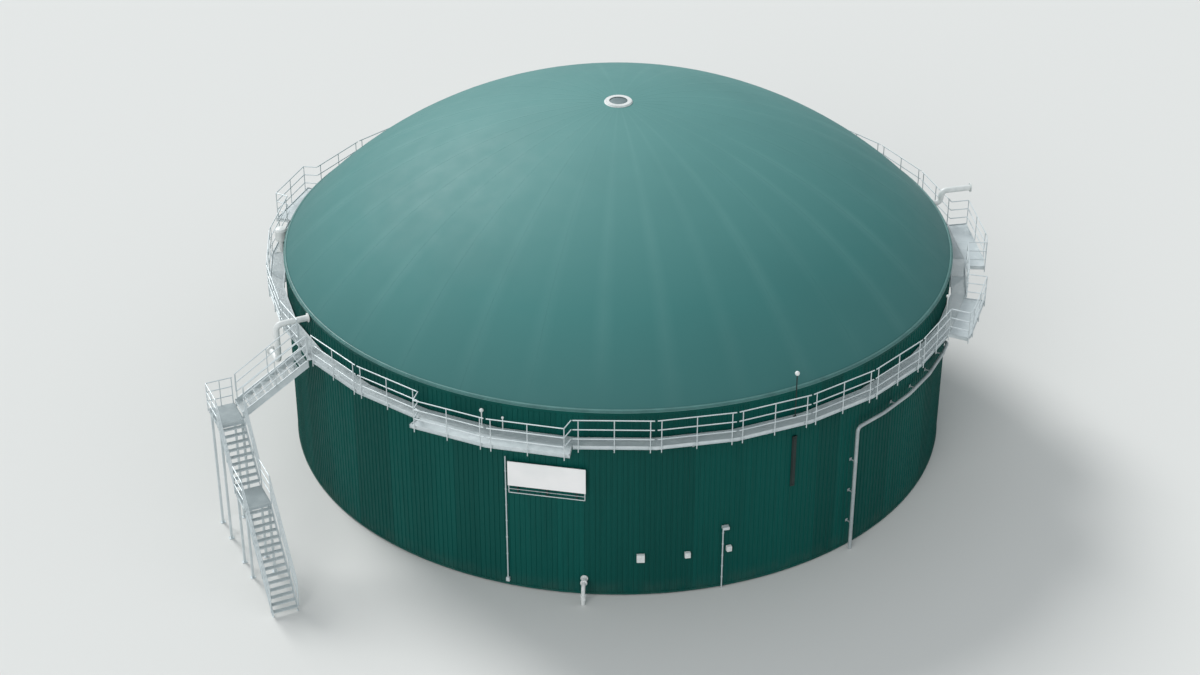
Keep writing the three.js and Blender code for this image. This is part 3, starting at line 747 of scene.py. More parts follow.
@dataclass(frozen=True)
class MembraneCoat:
    """Coated fabric of the dome: painted sheen in soft pale bands along the seams, a painted highlight
    towards the crown and painted shade towards the foot.
    """

    name: str
    colour: Colour
    # The pale colour paints the sheen along the seams and the highlight towards the crown; the darkest colour
    # paints the shade towards the foot and tints the worn patches.
    pale: Colour
    shade_and_wear: Colour
    flank_share: float = 0.4
    seam_sheen_share: float = 0.5
    crown_highlight_share: float = 0.5
    foot_shade_share: float = 0.6
    worn_share: float = 0.15

    def make(self) -> Material:
        """Wires the finish.

        Returns:
            The material.
        """
        board = NodeBoard(self.name)
        flank, crown = RIM_Z + self.flank_share * DOME_RISE, RIM_Z + DOME_RISE
        place = board.sectors(720 - SEAM, 360 / GORES)
        # Painted sheen: pale bands along each seam, stronger on some gores and towards the crown.
        away = board.math("ABSOLUTE", board.math("SUBTRACT", board.math("FRACT", place), 0.5))
        band = board.between(away, 0.3, 0.5)
        tone = board.shuffle(board.math("FLOOR", board.math("ADD", place, 0.5)))
        band = board.times(band, board.between(tone, 0.0, 1.0, 0.3, 1.0))
        height = board.between(board.axis("Z"), RIM_Z, crown, 0.65, 0.8)
        soft = board.between(board.noise(0.35, detail=3.0), 0.3, 0.75, 0.3, 1.0)
        share = board.times(board.times(band, height), soft)
        base = board.mix(board.times(share, self.seam_sheen_share), self.colour, self.pale)
        # Painted highlight: the colour turns paler from the flank up to the crown.
        crown_highlight = board.between(board.axis("Z"), flank, crown, 0.0, self.crown_highlight_share)
        base = board.mix(crown_highlight, base, self.pale)
        # Painted shade: the colour turns darker from the flank down to the rim.
        foot = board.between(board.axis("Z"), RIM_Z, flank, self.foot_shade_share, 0.0)
        base = board.mix(foot, base, self.shade_and_wear)
        worn = board.between(board.noise(0.22), 0.45, 0.7, 0.0, self.worn_share)
        board.set("Base Color", board.mix(worn, base, self.shade_and_wear))
        board.rough(1.2, 0.6, 0.66)
        board.bump(board.noise(0.35, detail=2.0), 0.01, 0.05)
        return board.material


@dataclass(frozen=True)
class ZincCoat:
    """Hot-dip zinc: fine spangle, paler and duller patches."""

    name: str
    colour: Colour
    pale: Colour
    roughness: float
    metallic: float = 0.3
    spangle_scale: float = 45.0
    spangle_share: float = 0.4
    patch_share: float = 0.6
    unevenness: float = 0.08

    def make(self) -> Material:
        """Wires the finish.

        Returns:
            The material.
        """
        board = NodeBoard(self.name)
        cells = board.add("TexVoronoi", Scale=self.spangle_scale, Vector=board.coordinates)
        spangle = cells.outputs["Distance"]
        patches = board.between(board.noise(2.4), 0.4, 0.65, 0.0, self.patch_share)
        share = board.math("MAXIMUM", board.between(spangle, 0.0, 0.8, 0.0, self.spangle_share), patches)
        board.set("Base Color", board.mix(share, self.colour, self.pale))
        board.set("Metallic", self.metallic)
        board.rough(6.0, self.roughness - self.unevenness, self.roughness + self.unevenness)
        board.bump(spangle, 0.05, 0.001)
        return board.material


FINISHES = {
    Slot.CONCRETE: Coat("cast_concrete", linear(158, 155, 148), linear(128, 126, 120), 0.9, patch_scale=0.8,
                        grain=0.3, grain_depth=0.004),
    Slot.CLADDING: SheetCoat("green_coated_sheet", linear(3, 82, 75), linear(2, 63, 57), linear(60, 84, 76),
                             360 / 84),
    # The membrane's pale colour paints sheen and the crown's highlight; its darkest colour paints the foot's
    # shade and the worn patches.
    Slot.MEMBRANE: MembraneCoat("green_membrane", linear(55, 120, 117), linear(102, 153, 149),
                                linear(42, 98, 96)),
    Slot.CLAMP: Coat("clamp_ring_green", linear(86, 134, 130), linear(72, 116, 113), 0.45),
    Slot.STEEL: ZincCoat("galvanised_steel", linear(194, 203, 205), linear(222, 228, 229), 0.44),
    Slot.WHITE: Coat("white_coat", linear(228, 230, 228), linear(208, 212, 210), 0.4, patch_scale=3.0),
    Slot.SIGN: Coat("sign_panel_white", linear(246, 244, 243), linear(236, 236, 235), 0.35, patch_scale=0.9,
                    grain=0.01),
    Slot.DARK: Coat("dark_fitting_coat", linear(34, 50, 47), linear(24, 38, 36), 0.55, metallic=0.1),
    Slot.PIPE: Coat("grey_pipe_jacket", linear(178, 186, 187), linear(160, 169, 171), 0.42, metallic=0.25,
                    patch_scale=3.0),
}
# A darker grey zinc for the plate inside the crown ring.
DARKER_ZINC = Coat("darker_zinc", linear(118, 134, 136), linear(100, 116, 118), 0.6, metallic=0.1)


class Binder:
    """Names finished pieces, gives them their finish and binds them to the frame."""

    smooth_angle = math.radians(32)

    def __init__(self) -> None:
        """Makes one material per slot and coats the CAD nodes that stay visible."""
        self.materials = {slot: finish.make() for slot, finish in FINISHES.items()}
        for name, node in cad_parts.items():
            if name.startswith(("floor_slab", "tank_wall")):
                node.data.materials.clear()
                node.data.materials.append(self.materials[Slot.CONCRETE])

    def bind(self, name: str, parts: Sequence[Object], slot: Slot, *nodes: str, at: Matrix = HERE,
             finish: Optional[Coat] = None) -> None:
        """Joins, places and dresses a piece, and binds it to the frame.

        Args:
            name: Name of the piece.
            parts: Its modelled parts.
            slot: Its material slot.
            nodes: CAD nodes that it stands for.
            at: Placement of the parts.
            finish: Finish of its own, where it differs from the slot's.
        """
        piece = Bench.place(Bench.join(parts), at)
        piece.name = name
        piece.data.name = name
        piece.data.materials.clear()
        piece.data.materials.append(finish.make() if finish else self.materials[slot])
        Bench.pick(piece)
        bpy.ops.object.shade_smooth_by_angle(angle=self.smooth_angle)
        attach(piece, "root")
        if nodes:
            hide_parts(*nodes)
        LOG.info("%s: %d faces", name, len(piece.data.polygons))


@dataclass(frozen=True)
class Assembly:
    """A sub-assembly, with the binder that takes its pieces."""

    binder: Binder

    def build(self) -> None:
        """Builds and binds the pieces; each sub-assembly has its own way."""
        raise NotImplementedError


@dataclass(frozen=True)
class RibbedWall(Assembly):
    """Trapezoidal sheets round the wall, five ribs a sheet, with screws and flashings."""

    ribs: int = 5
    sheets: int = 84
    foot: float = 0.06
    crest_r: float = 13.48
    valley_r: float = 13.456
    gauge: float = 0.0015
    joint: float = 0.004
    screw_r: float = 0.009
    screw_share: float = 0.86
    screw_rows: tuple[float, ...] = (0.25, 2.2, 4.15, 6.1, 7.85)
    screwed_ribs: tuple[int, ...] = (0, 2, 4)
    flashing_inner: float = 13.3
    flashing_face: float = 13.486

    def sheet(self) -> Object:
        """Models one sheet at the first kink.

        Returns:
            The sheet.
        """
        width = 360 / self.sheets
        rib = width / self.ribs
        folds = ((0.36, self.valley_r), (0.42, self.crest_r), (0.58, self.crest_r), (0.64, self.valley_r))
        line = [((index + share) * rib, radius) for index in range(self.ribs) for share, radius in folds]
        line = [(self.joint, self.valley_r), *line, (width - self.joint, self.valley_r)]
        points = [around(FIRST_KINK + turn, radius, self.foot) for turn, radius in line]
        return Bench.sheet(points, (0, 0, WALL_TOP - self.foot), self.gauge)

    def screw_places(self, quarter: int) -> list[Matrix]:
        """Finds the screws of a quarter, just beside every other rib.

        Args:
            quarter: Number of the quarter.

        Returns:
            Placement of each screw.
        """
        rib = 360 / self.sheets / self.ribs
        starts = [FIRST_KINK + quarter * 90 + sheet * rib * self.ribs for sheet in range(self.sheets // 4)]
        line, share = self.valley_r + self.gauge / 2, self.screw_share
        return [facing(start + (index + share) * rib) @ shift(line, 0, z) @ OUTWARDS
                for start in starts for z in self.screw_rows for index in self.screwed_ribs]

    def build(self) -> None:
        """Builds the wall's four quarters and its flashings."""
        sheet, screw = self.sheet(), Bench.bolt(self.screw_r)
        each = self.sheets // 4
        for quarter in range(4):
            turns = [Matrix.Rotation(math.radians((quarter * each + i) * 360 / self.sheets), 4, "Z")
                     for i in range(each)]
            parts = Bench.copies(sheet, turns, keep=True)
            parts += Bench.copies(screw, self.screw_places(quarter), keep=True)
            self.binder.bind(f"ribbed_sheets_{quarter + 1}", parts, Slot.CLADDING,
                             f"wall_cladding_{quarter + 1}")
        for pattern in (sheet, screw):
            bpy.data.objects.remove(pattern)
        inner, face = self.flashing_inner, self.flashing_face
        foot = ((inner, 0.062), (face + 0.008, 0.05), (face + 0.011, 0.054), (face + 0.003, 0.064),
                (face, 0.13), (inner, 0.132))
        head = ((inner, 7.95), (face, 7.95), (face + 0.003, 7.955), (face + 0.003, 8.074), (inner, 8.074))
        self.binder.bind("wall_flashings", [Bench.lathe(foot), Bench.lathe(head)], Slot.CLADDING)


@dataclass(frozen=True)
class MembraneRoof(Assembly):
    """Membrane dome with weld straps, clamp ring with its bolts, and the crown ring."""

    steps: int = 40
    cap_r: float = 0.3
    skin: float = 0.03
    strap_half: float = 0.035
    strap_gauge: float = 0.002
    clamp_bolts: int = 240
    clamp_bolt_line: float = 13.488
    hose_r: float = 0.045
    hose_line: tuple[float, float] = (13.43, 8.153)
    crown_bolts: int = 24
    crown_width: float = 0.11
    crown_tall: float = 0.07
    bolt_r: float = 0.014

    def arc(self, lift: float, first: float, steps: int) -> list[tuple[float, float]]:
        """Draws the dome's line from the foot to the crown.

        Args:
            lift: Distance outside the membrane's line.
            first: Radius at the crown end.
            steps: Segments.

        Returns:
            Radius and height of each point.
        """
        ball = (DOME_FOOT_R ** 2 + DOME_RISE ** 2) / (2 * DOME_RISE)
        centre = RIM_Z + DOME_RISE - ball
        angles = evenly(math.asin(DOME_FOOT_R / ball), math.asin(first / ball), steps + 1)
        return [((ball + lift) * math.sin(a), centre + (ball + lift) * math.cos(a)) for a in angles]

    def strap(self) -> Object:
        """Models one weld strap at the first seam.

        Returns:
            The strap.
        """
        line = [point for point in self.arc(0.0012, self.cap_r, self.steps) if point[0] > CROWN_R]
        turn = facing(SEAM)
        points = [turn @ Vector((r, -self.strap_half, z)) for r, z in line]
        return Bench.sheet(points, turn @ Vector((0, 2 * self.strap_half, 0)), self.strap_gauge)

    def build(self) -> None:
        """Builds the roof."""
        inner = self.arc(-self.skin, self.cap_r, 12)
        dome = Bench.lathe(self.arc(0, self.cap_r, self.steps) + inner[::-1])
        turns = [Matrix.Rotation(math.radians(360 / GORES * i), 4, "Z") for i in range(GORES)]
        self.binder.bind("dome_membrane", [dome, *Bench.copies(self.strap(), turns)], Slot.MEMBRANE,
                         "membrane_dome_upper", "membrane_dome_lower")
        self.clamp_ring()
        self.crown()

    def ring_of_bolts(self, count: int, radius: float, z: float) -> list[Object]:
        """Models a count of upright bolts round the tank's axis."""
        return Bench.bolts(self.bolt_r, [facing(360 / count * i) @ shift(radius, 0, z) for i in range(count)])

    def clamp_ring(self) -> None:
        """Builds the ring that clamps the membrane, with its hose and bolts."""
        base = ((13.0, 8.081), (13.512, 8.081), (13.518, 8.087), (13.518, 8.116), (13.3, 8.12), (13.3, 8.16),
                (13.0, 8.16))
        clamp = ((13.31, 8.122), (13.502, 8.122), (13.506, 8.127), (13.506, 8.142), (13.31, 8.142))
        (line, z), radius = self.hose_line, self.hose_r
        turns = [math.radians(a) for a in range(0, 360, 30)]
        hose = [(line + radius * math.cos(a), z + radius * math.sin(a)) for a in turns]
        parts = [Bench.lathe(profile) for profile in (base, clamp, hose)]
        parts += self.ring_of_bolts(self.clamp_bolts, self.clamp_bolt_line, 8.142)
        self.binder.bind("membrane_clamp_ring", parts, Slot.CLAMP, "rim_clamp_ring")

    def crown(self) -> None:
        """Builds the crown ring and the plate inside it."""
        foot = self.arc(0, CROWN_R + 0.1, 1)[-1][1] + GAP
        inner, top = CROWN_R - self.crown_width, self.crown_tall
        ring = ((inner, 0), (CROWN_R, 0), (CROWN_R, 0.02), (CROWN_R - 0.02, 0.028), (CROWN_R - 0.03, 0.066),
                (CROWN_R - 0.036, top), (inner - 0.084, top), (inner - 0.09, 0.064), (inner - 0.09, 0.056),
                (inner, 0.05))
        parts = [Bench.lathe([(r, foot + z) for r, z in ring], 64),
                 *self.ring_of_bolts(self.crown_bolts, CROWN_R - 0.07, foot + top)]
        self.binder.bind("crown_flange", parts, Slot.WHITE, "crown_ring")
        plate = ((inner - 0.005, 0), (inner - 0.005, 0.028), (inner - 0.015, 0.034), (0.12, 0.045),
                 (0.09, 0.045))
        self.binder.bind("crown_cover", [Bench.stack(plate, 48, (0, 0, foot))], Slot.STEEL, "crown_plate",
                         finish=DARKER_ZINC)


class Ending(Enum):
    """How a railing ends."""

    IN_LINE = "in line with its neighbour"
    SLANTED = "slanting to the ring from its last post"
    SQUARE = "square back to the ring"


@dataclass(frozen=True)
class RingPart(Assembly):
    """A piece of the gallery along a span of the ring, out to its outer radius."""

    name: str
    node: str
    span: Span
    outer: float


@dataclass(frozen=True)
class Deck(RingPart):
    """One deck of the ring gallery: grating bay by bay, plates on the wide part, wall angle and brackets."""

    plate: float = 0.006
    strip: float = 0.006
    joint: float = 0.012
    slack: float = 0.001
    stiffener: float = 0.008
    bracket_foot: float = 0.52
    bracket_nose: float = 0.14
    wall_plate: float = 0.008
    bolt_r: float = 0.012
    bolt_drops: tuple[float, ...] = (0.48, 0.34, 0.2, 0.09)
    ledge: float = 0.05

    def panel(self) -> Object:
        """Models the floor of a whole bay at azimuth 90: bars along the walk, cross rods and edge strips.

        Returns:
            The untrimmed panel.
        """
        edge = self.outer - BAND_DEPTH - self.slack
        half = self.outer * math.tan(math.radians(BAY / 2)) + 0.02
        inner, seam = DECK_INNER_R, GALLERY_R - BAND_DEPTH - self.slack
        low, z = DECK_Z - BAR_DEPTH, DECK_Z
        parts = [Bench.bar_row((inner, -half, low), (inner + 0.021, half, z), (BAR_PITCH, 0, 0),
                               int((seam - inner) / BAR_PITCH) + 1),
                 Bench.bar_row((inner + 0.002, -half, z - 0.009), (seam - 0.002, ROD - half, z - 0.001),
                               (0, ROD_PITCH, 0), int(2 * half / ROD_PITCH)),
                 Bench.block((seam - self.strip, -half, low), (seam, half, z), 0),
                 Bench.block((inner, -half, z - 0.004), (inner + 0.06, half, z + 0.003), 0)]
        if edge > seam:
            under = z - self.plate
            parts += [Bench.block((seam + 0.004, start, under), (edge, start + half - 0.002, z), 0.001)
                      for start in (-half, 0.002)]
            parts += [Bench.block((x, -half, low - 0.03), (x + self.stiffener, half, under), 0)
                      for x in (seam + 0.01, (seam + edge) / 2)]
        return Bench.join(parts)

    def trimmed(self, panel: Object, low: float, high: float, centre: float) -> Object:
        """Copies the panel to a bay and cuts it at two azimuths.

        Args:
            panel: The untrimmed panel.
            low: First azimuth.
            high: Last azimuth.
            centre: Azimuth of the bay's middle.

        Returns:
            The cut panel.
        """
        cut = Bench.pick(*Bench.copies(panel, [facing(centre)], keep=True))
        Bench.edit()
        Bench.trim(low + self.joint, high - self.joint)
        bpy.ops.object.mode_set(mode="OBJECT")
        return cut

    def bracket(self) -> Object:
        """Models a welded wall bracket at azimuth 90: web, flanges and a bolted wall plate.

        Returns:
            The bracket.
        """
        wall, plate = WALL_R + 0.001, self.wall_plate
        top, foot = DECK_Z - 0.032, DECK_Z - self.bracket_foot
        tip, nose = self.outer - 0.09, DECK_Z - self.bracket_nose
        web = ((wall, foot), (wall + 0.09, foot), (tip, nose), (tip, top), (wall, top))
        slope = ((wall, foot), (wall + 0.092, foot), (tip + 0.004, nose - 0.003), (tip + 0.004, nose + 0.007),
                 (wall + 0.088, foot + 0.01), (wall, foot + 0.01))
        parts = [Bench.prism([(x, -half, z) for x, z in outline], (0, 2 * half, 0))
                 for outline, half in ((web, 0.005), (slope, 0.03))]
        parts += [Bench.block((wall, -0.03, top - 0.008), (tip + 0.04, 0.03, top), 0.001),
                  Bench.block((wall - plate, -0.07, foot - 0.01), (wall + plate, 0.07, DECK_Z - 0.05), 0.003)]
        places = [shift(wall + plate, side * 0.052, DECK_Z - drop) @ OUTWARDS
                  for side in (-1, 1) for drop in self.bolt_drops]
        return Bench.join([*parts, *Bench.bolts(self.bolt_r, places)])

    def build(self, extra: Sequence[Object] = ()) -> None:
        """Builds the deck.

        Args:
            extra: Further parts of the same piece.
        """
        panel, bays = self.panel(), self.span.bays()
        parts = [self.trimmed(panel, *bay) for bay in bays if bay[1] - bay[0] > 0.1]
        bpy.data.objects.remove(panel)
        inside = Span(self.span.start + 0.02, self.span.end - 0.02)
        inner, edge = DECK_INNER_R, self.outer - BAND_DEPTH - 0.002
        web, leg = inner + self.stiffener, inner + self.ledge
        angle = ((inner, -0.16), (web, -0.16), (web, -0.041), (leg, -0.041), (leg, -0.033), (inner, -0.033))
        back = edge - self.ledge
        ledge = ((back, -0.041), (edge, -0.041), (edge, -0.033), (back, -0.033))
        parts += [Bench.ring_section([(r, DECK_Z + z) for r, z in section], inside)
                  for section in (angle, ledge)]
        centres = [centre for _, _, centre in bays if self.span.start + 1 < centre < self.span.end - 1]
        parts += Bench.copies(self.bracket(), [facing(centre) for centre in centres])
        self.binder.bind(self.name, [*parts, *extra], Slot.STEEL, self.node)


@dataclass(frozen=True)
class Run:
    """A railing's run along one bay, measured along the bay from its middle."""

    low: float
    high: float
    centre: float
    start: float
    end: float
    left: float
    right: float
    first: bool
    last: bool


@dataclass(frozen=True)
class GalleryRail(RingPart):
    """Edge channel, posts, handrail and knee rails of one deck; the rails stop short of each kink."""

    ending: Ending = Ending.IN_LINE
    thick: float = 0.008
    bend: float = 0.05
    corner_inset: float = 0.02
    stub: float = 0.9
    plate: float = 0.008
    plate_half: float = 0.045
    bolt_r: float = 0.009

    def end_inset(self, azimuth: float) -> float:
        """Finds how far the last post stands from the railing's end.

        Args:
            azimuth: Azimuth of the end.

        Returns:
            The distance.
        """
        bays = (azimuth - FIRST_KINK) / BAY
        at_kink = abs(bays - round(bays)) < 0.01
        corner = self.ending is Ending.SQUARE or (self.ending is Ending.IN_LINE and not at_kink)
        return self.corner_inset if corner else POST_INSET

    def runs(self) -> list[Run]:
        """Lists the railing's runs.

        Returns:
            One run for each bay.
        """
        bays = self.span.bays()
        line = self.outer + POST_LINE
        found = []
        for index, (low, high, centre) in enumerate(bays):
            start, end = (line * math.tan(math.radians(a - centre)) for a in (low, high))
            first, last = index == 0, index == len(bays) - 1
            left = start + (self.end_inset(low) if first else POST_INSET)
            right = end - (self.end_inset(high) if last else POST_INSET)
            found.append(Run(low, high, centre, start, end, left, right, first, last))
        return found

    def channel(self) -> Object:
        """Models the edge channel, open to the outside.

        Returns:
            The channel.
        """
        back, front, thick = self.outer - BAND_DEPTH, self.outer, self.thick
        low, high = DECK_Z - BAND_DOWN, DECK_Z + BAND_UP
        section = ((back, low), (front, low), (front, low + thick), (back + thick, low + thick + 0.004),
                   (back + thick, high - thick - 0.004), (front, high - thick), (front, high), (back, high))
        return Bench.ring_section(section, self.span)

    def end_channel(self, azimuth: float, inward: int) -> list[Object]:
        """Models the channel from a wide deck's corner back to the ring.

        Args:
            azimuth: Azimuth of the corner.
            inward: Side on which the deck lies.

        Returns:
            Its parts.
        """
        centre = self.span.bays()[0 if inward > 0 else -1][2]
        grow = 1 / math.cos(math.radians(azimuth - centre))
        near, far = GALLERY_R * grow + 0.002, self.outer * grow
        low, high = DECK_Z - BAND_DOWN, DECK_Z + BAND_UP
        bars = ((self.thick, low, high), (BAND_DEPTH, low, low + self.thick),
                (BAND_DEPTH, high - self.thick, high))
        parts = []
        for wide, foot, top in bars:
            left, right = sorted((0.0, inward * wide))
            bar = Bench.block((near, left, foot), (far, right, top), 0.002)
            parts.append(Bench.place(bar, facing(azimuth)))
        return parts

    def post(self) -> Object:
        """Models a post at azimuth 90 with its bolted plate.

        Returns:
            The post.
        """
        line, face = self.outer + POST_LINE, self.outer + 0.0005
        tube = Bench.pipe([(line, 0, DECK_Z - 0.24), (line, 0, DECK_Z + RAIL_HEIGHT - TUBE_R)], POST_R)
        front, half = face + self.plate, self.plate_half
        low, high = DECK_Z - BAND_DOWN + 0.004, DECK_Z + BAND_UP - 0.004
        plate = Bench.block((face, -half, low), (front, half, high), 0.002)
        places = [shift(front, side * 0.031, DECK_Z + z) @ OUTWARDS
                  for side in (-1, 1) for z in (-0.095, 0.003)]
        return Bench.join([tube, plate, *Bench.bolts(self.bolt_r, places)])

    def post_places(self) -> list[Matrix]:
        """Finds the posts: one each side of a kink and one amid the bay, or a single one on a stub.

        Returns:
            Placement of each post.
        """
        places = []
        for run in self.runs():
            spots = [run.left, (run.left + run.right) / 2, run.right]
            if run.end - run.start < self.stub:
                spots = [run.right if run.last and not run.first else run.left]
            places += [facing(run.centre) @ shift(0, spot, 0) for spot in spots]
        return places

    def rail(self, run: Run, z: float) -> Object:
        """Models one rail of a bay; at a wide deck's end it turns back to the ring.

        Args:
            run: The bay's run.
            z: Height of the rail's centre.

        Returns:
            The rail.
        """
        line, ring = self.outer + POST_LINE, GALLERY_R + POST_LINE
        near, far = (ring * math.tan(math.radians(a - run.centre)) for a in (run.low, run.high))
        corners = (run.start + TUBE_INSET, run.end - TUBE_INSET)
        if self.ending is Ending.SLANTED:
            corners = (run.left, run.right)
        start = [(line, run.start if run.first else run.start + KINK_GAP / 2)]
        end = [(line, run.end if run.last else run.end - KINK_GAP / 2)]
        if self.ending is not Ending.IN_LINE and run.first:
            start = [(ring, near + TUBE_INSET), (line, corners[0])]
        if self.ending is not Ending.IN_LINE and run.last:
            end = [(line, corners[1]), (ring, far - TUBE_INSET)]
        pipe = Bench.pipe([(x, y, z) for x, y in start + end], TUBE_R, self.bend)
        return Bench.place(pipe, facing(run.centre))

    def build(self) -> None:
        """Builds the railing."""
        top = DECK_Z + RAIL_HEIGHT - TUBE_R
        parts = [self.channel(), *Bench.copies(self.post(), self.post_places())]
        parts += [self.rail(run, top - drop) for run in self.runs() for drop in RAIL_DROPS]
        if self.ending is not Ending.IN_LINE:
            parts += self.end_channel(self.span.start, 1) + self.end_channel(self.span.end, -1)
        self.binder.bind(self.name, parts, Slot.STEEL, self.node)


@dataclass(frozen=True)
class Flight:
    """One flight: channel stringers and grating treads, climbing along +Y from y = 0."""

    risers: int
    going: float
    foot_z: float
    on_ground: bool
    depth: float = 0.33
    cover: float = 0.03
    web: float = 0.008
    flange: float = 0.04
    thick: float = 0.012
    bar_pitch: float = 0.034
    nosing: float = 0.03
    overlap: float = 0.01
    end_plate: float = 0.07
    bolt_r: float = 0.009

    def upper(self, y: float) -> float:
        """Finds the height of the stringer's upper edge at a place along the flight."""
        return self.foot_z + RISE + self.cover + y * RISE / self.going

    def stringer(self) -> Object:
        """Models the stringer on the +X side, a channel open to the outside.

        Returns:
            The stringer.
        """
        end = (self.risers - 1) * self.going - GAP
        start = 0.0 if self.on_ground else GAP
        outer = FLIGHT_WIDTH / 2
        inner = outer - self.flange
        foot_end = (self.depth - RISE - self.cover) * self.going / RISE
        low = [(start, self.upper(start) - self.depth)]
        if self.on_ground:
            low = [(0.0, self.foot_z), (foot_end, self.foot_z)]
        web = [*low, (end, self.upper(end) - self.depth), (end, self.upper(end)), (start, self.upper(start))]
        parts = [Bench.prism([(inner, y, z) for y, z in web], (self.web, 0, 0))]
        for begin, lift in ((start, 0.0), (foot_end if self.on_ground else start, self.thick - self.depth)):
            corners = ((begin, lift - self.thick), (end, lift - self.thick), (end, lift), (begin, lift))
            outline = [(inner, y, self.upper(y) + z) for y, z in corners]
            parts.append(Bench.prism(outline, (self.flange, 0, 0)))
        if self.on_ground:
            sole = self.foot_z + self.thick
            parts.append(Bench.block((inner - 0.03, 0.0, self.foot_z), (outer, foot_end, sole), 0.002))
        return Bench.join(parts)

    def tread(self) -> Object:
        """Models one grating tread with its nosing and bolted end plates, its top at z = 0.

        Returns:
            The tread.
        """
        half = FLIGHT_WIDTH / 2 - self.flange - 0.001
        depth = self.going + self.overlap
        parts = [Bench.bar_row((-half, 0.035, -BAR_DEPTH), (half, 0.039, 0), (0, self.bar_pitch, 0),
                               int((depth - 0.04) / self.bar_pitch) + 1),
                 Bench.bar_row((0.02 - half, 0.005, -0.009), (0.02 + ROD - half, depth, -0.001),
                               (ROD_PITCH, 0, 0), int((2 * half - 0.04) / ROD_PITCH) + 1),
                 Bench.block((-half, 0, -0.034), (half, self.nosing, 0.001), 0.003)]
        parts += [Bench.block((edge - 0.003, 0, -self.end_plate), (edge + 0.003, depth, 0), 0.001)
                  for edge in (-half, half)]
        places = [shift(side * (half - 0.003), y, -0.05) @ Matrix.Rotation(-side * math.pi / 2, 4, "Y")
                  for side in (-1, 1) for y in (0.05, depth - 0.03)]
        return Bench.join([*parts, *Bench.bolts(self.bolt_r, places)])

    def parts(self) -> list[Object]:
        """Models the flight.

        Returns:
            Its parts.
        """
        right = self.stringer()
        left = Bench.copies(right, [Matrix.Scale(-1, 4, (1, 0, 0))], keep=True)[0]
        left.data.flip_normals()
        steps = [shift(0, (step - 1) * self.going - 0.015, self.foot_z + step * RISE)
                 for step in range(1, self.risers)]
        return [right, left, *Bench.copies(self.tread(), steps)]


@dataclass(frozen=True)
class Landing:
    """A grating landing in a channel frame on square legs."""

    x0: float
    x1: float
    y0: float
    y1: float
    z: float
    legs: tuple[tuple[float, float], ...]
    deep: float = 0.18
    flange: float = 0.05
    thick: float = 0.008
    strip: float = 0.006
    leg_half: float = 0.045
    foot_half: float = 0.1
    bolt_r: float = 0.012
    bolt_out: float = 0.075

    def beam(self, along_x: bool, near: float, far: float, low: float, high: float,
             bevel: float = 0.002) -> Object:
        """Models a bar that runs across the landing.

        Args:
            along_x: Whether it runs along x.
            near: Its first side.
            far: Its other side.
            low: Its foot.
            high: Its top.
            bevel: Width of its softened edges.

        Returns:
            The bar.
        """
        if along_x:
            return Bench.block((self.x0, near, low), (self.x1, far, high), bevel)
        return Bench.block((near, self.y0, low), (far, self.y1, high), bevel)

    def parts(self) -> list[Object]:
        """Models the landing.

        Returns:
            Its parts.
        """
        x, y, z = self.x0, self.y0, self.z
        found = [Bench.bar_row((x + 0.01, y + 0.012, z - BAR_DEPTH), (self.x1 - 0.01, y + 0.016, z),
                               (0, BAR_PITCH, 0), int((self.y1 - y - 0.02) / BAR_PITCH) + 1),
                 Bench.bar_row((x + 0.02, y + 0.01, z - 0.009), (x + 0.02 + ROD, self.y1 - 0.01, z - 0.001),
                               (ROD_PITCH, 0, 0), int((self.x1 - x - 0.04) / ROD_PITCH) + 1)]
        low, under = z - self.deep, z - 0.031
        for along_x, near, far in ((True, self.y0, self.y1), (False, self.x0, self.x1)):
            inside = far - self.flange
            for edge, web in ((near, near + self.flange - self.thick), (inside, inside)):
                found.append(self.beam(along_x, web, web + self.thick, low, under))
                found += [self.beam(along_x, edge, edge + self.flange, foot, foot + self.thick)
                          for foot in (low, under - self.thick)]
            found += [self.beam(along_x, edge, edge + self.strip, z - 0.032, z, 0.001)
                      for edge in (near, far - self.strip)]
        for place in self.legs:
            found += self.leg(*place)
        return found

    def leg(self, x: float, y: float) -> list[Object]:
        """Models a leg on its foot plate.

        Args:
            x: Place of the leg.
            y: Place of the leg.

        Returns:
            Its parts.
        """
        half, wide, out, top = self.leg_half, self.foot_half, self.bolt_out, 0.014
        tube = Bench.block((x - half, y - half, 0.012), (x + half, y + half, self.z - 0.04), 0.008)
        plate = Bench.block((x - wide, y - wide, 0.0), (x + wide, y + wide, top), 0.002)
        spots = [shift(x + i * out, y + j * out, top) for i, j in CORNERS]
        return [tube, plate, *Bench.bolts(self.bolt_r, spots)]


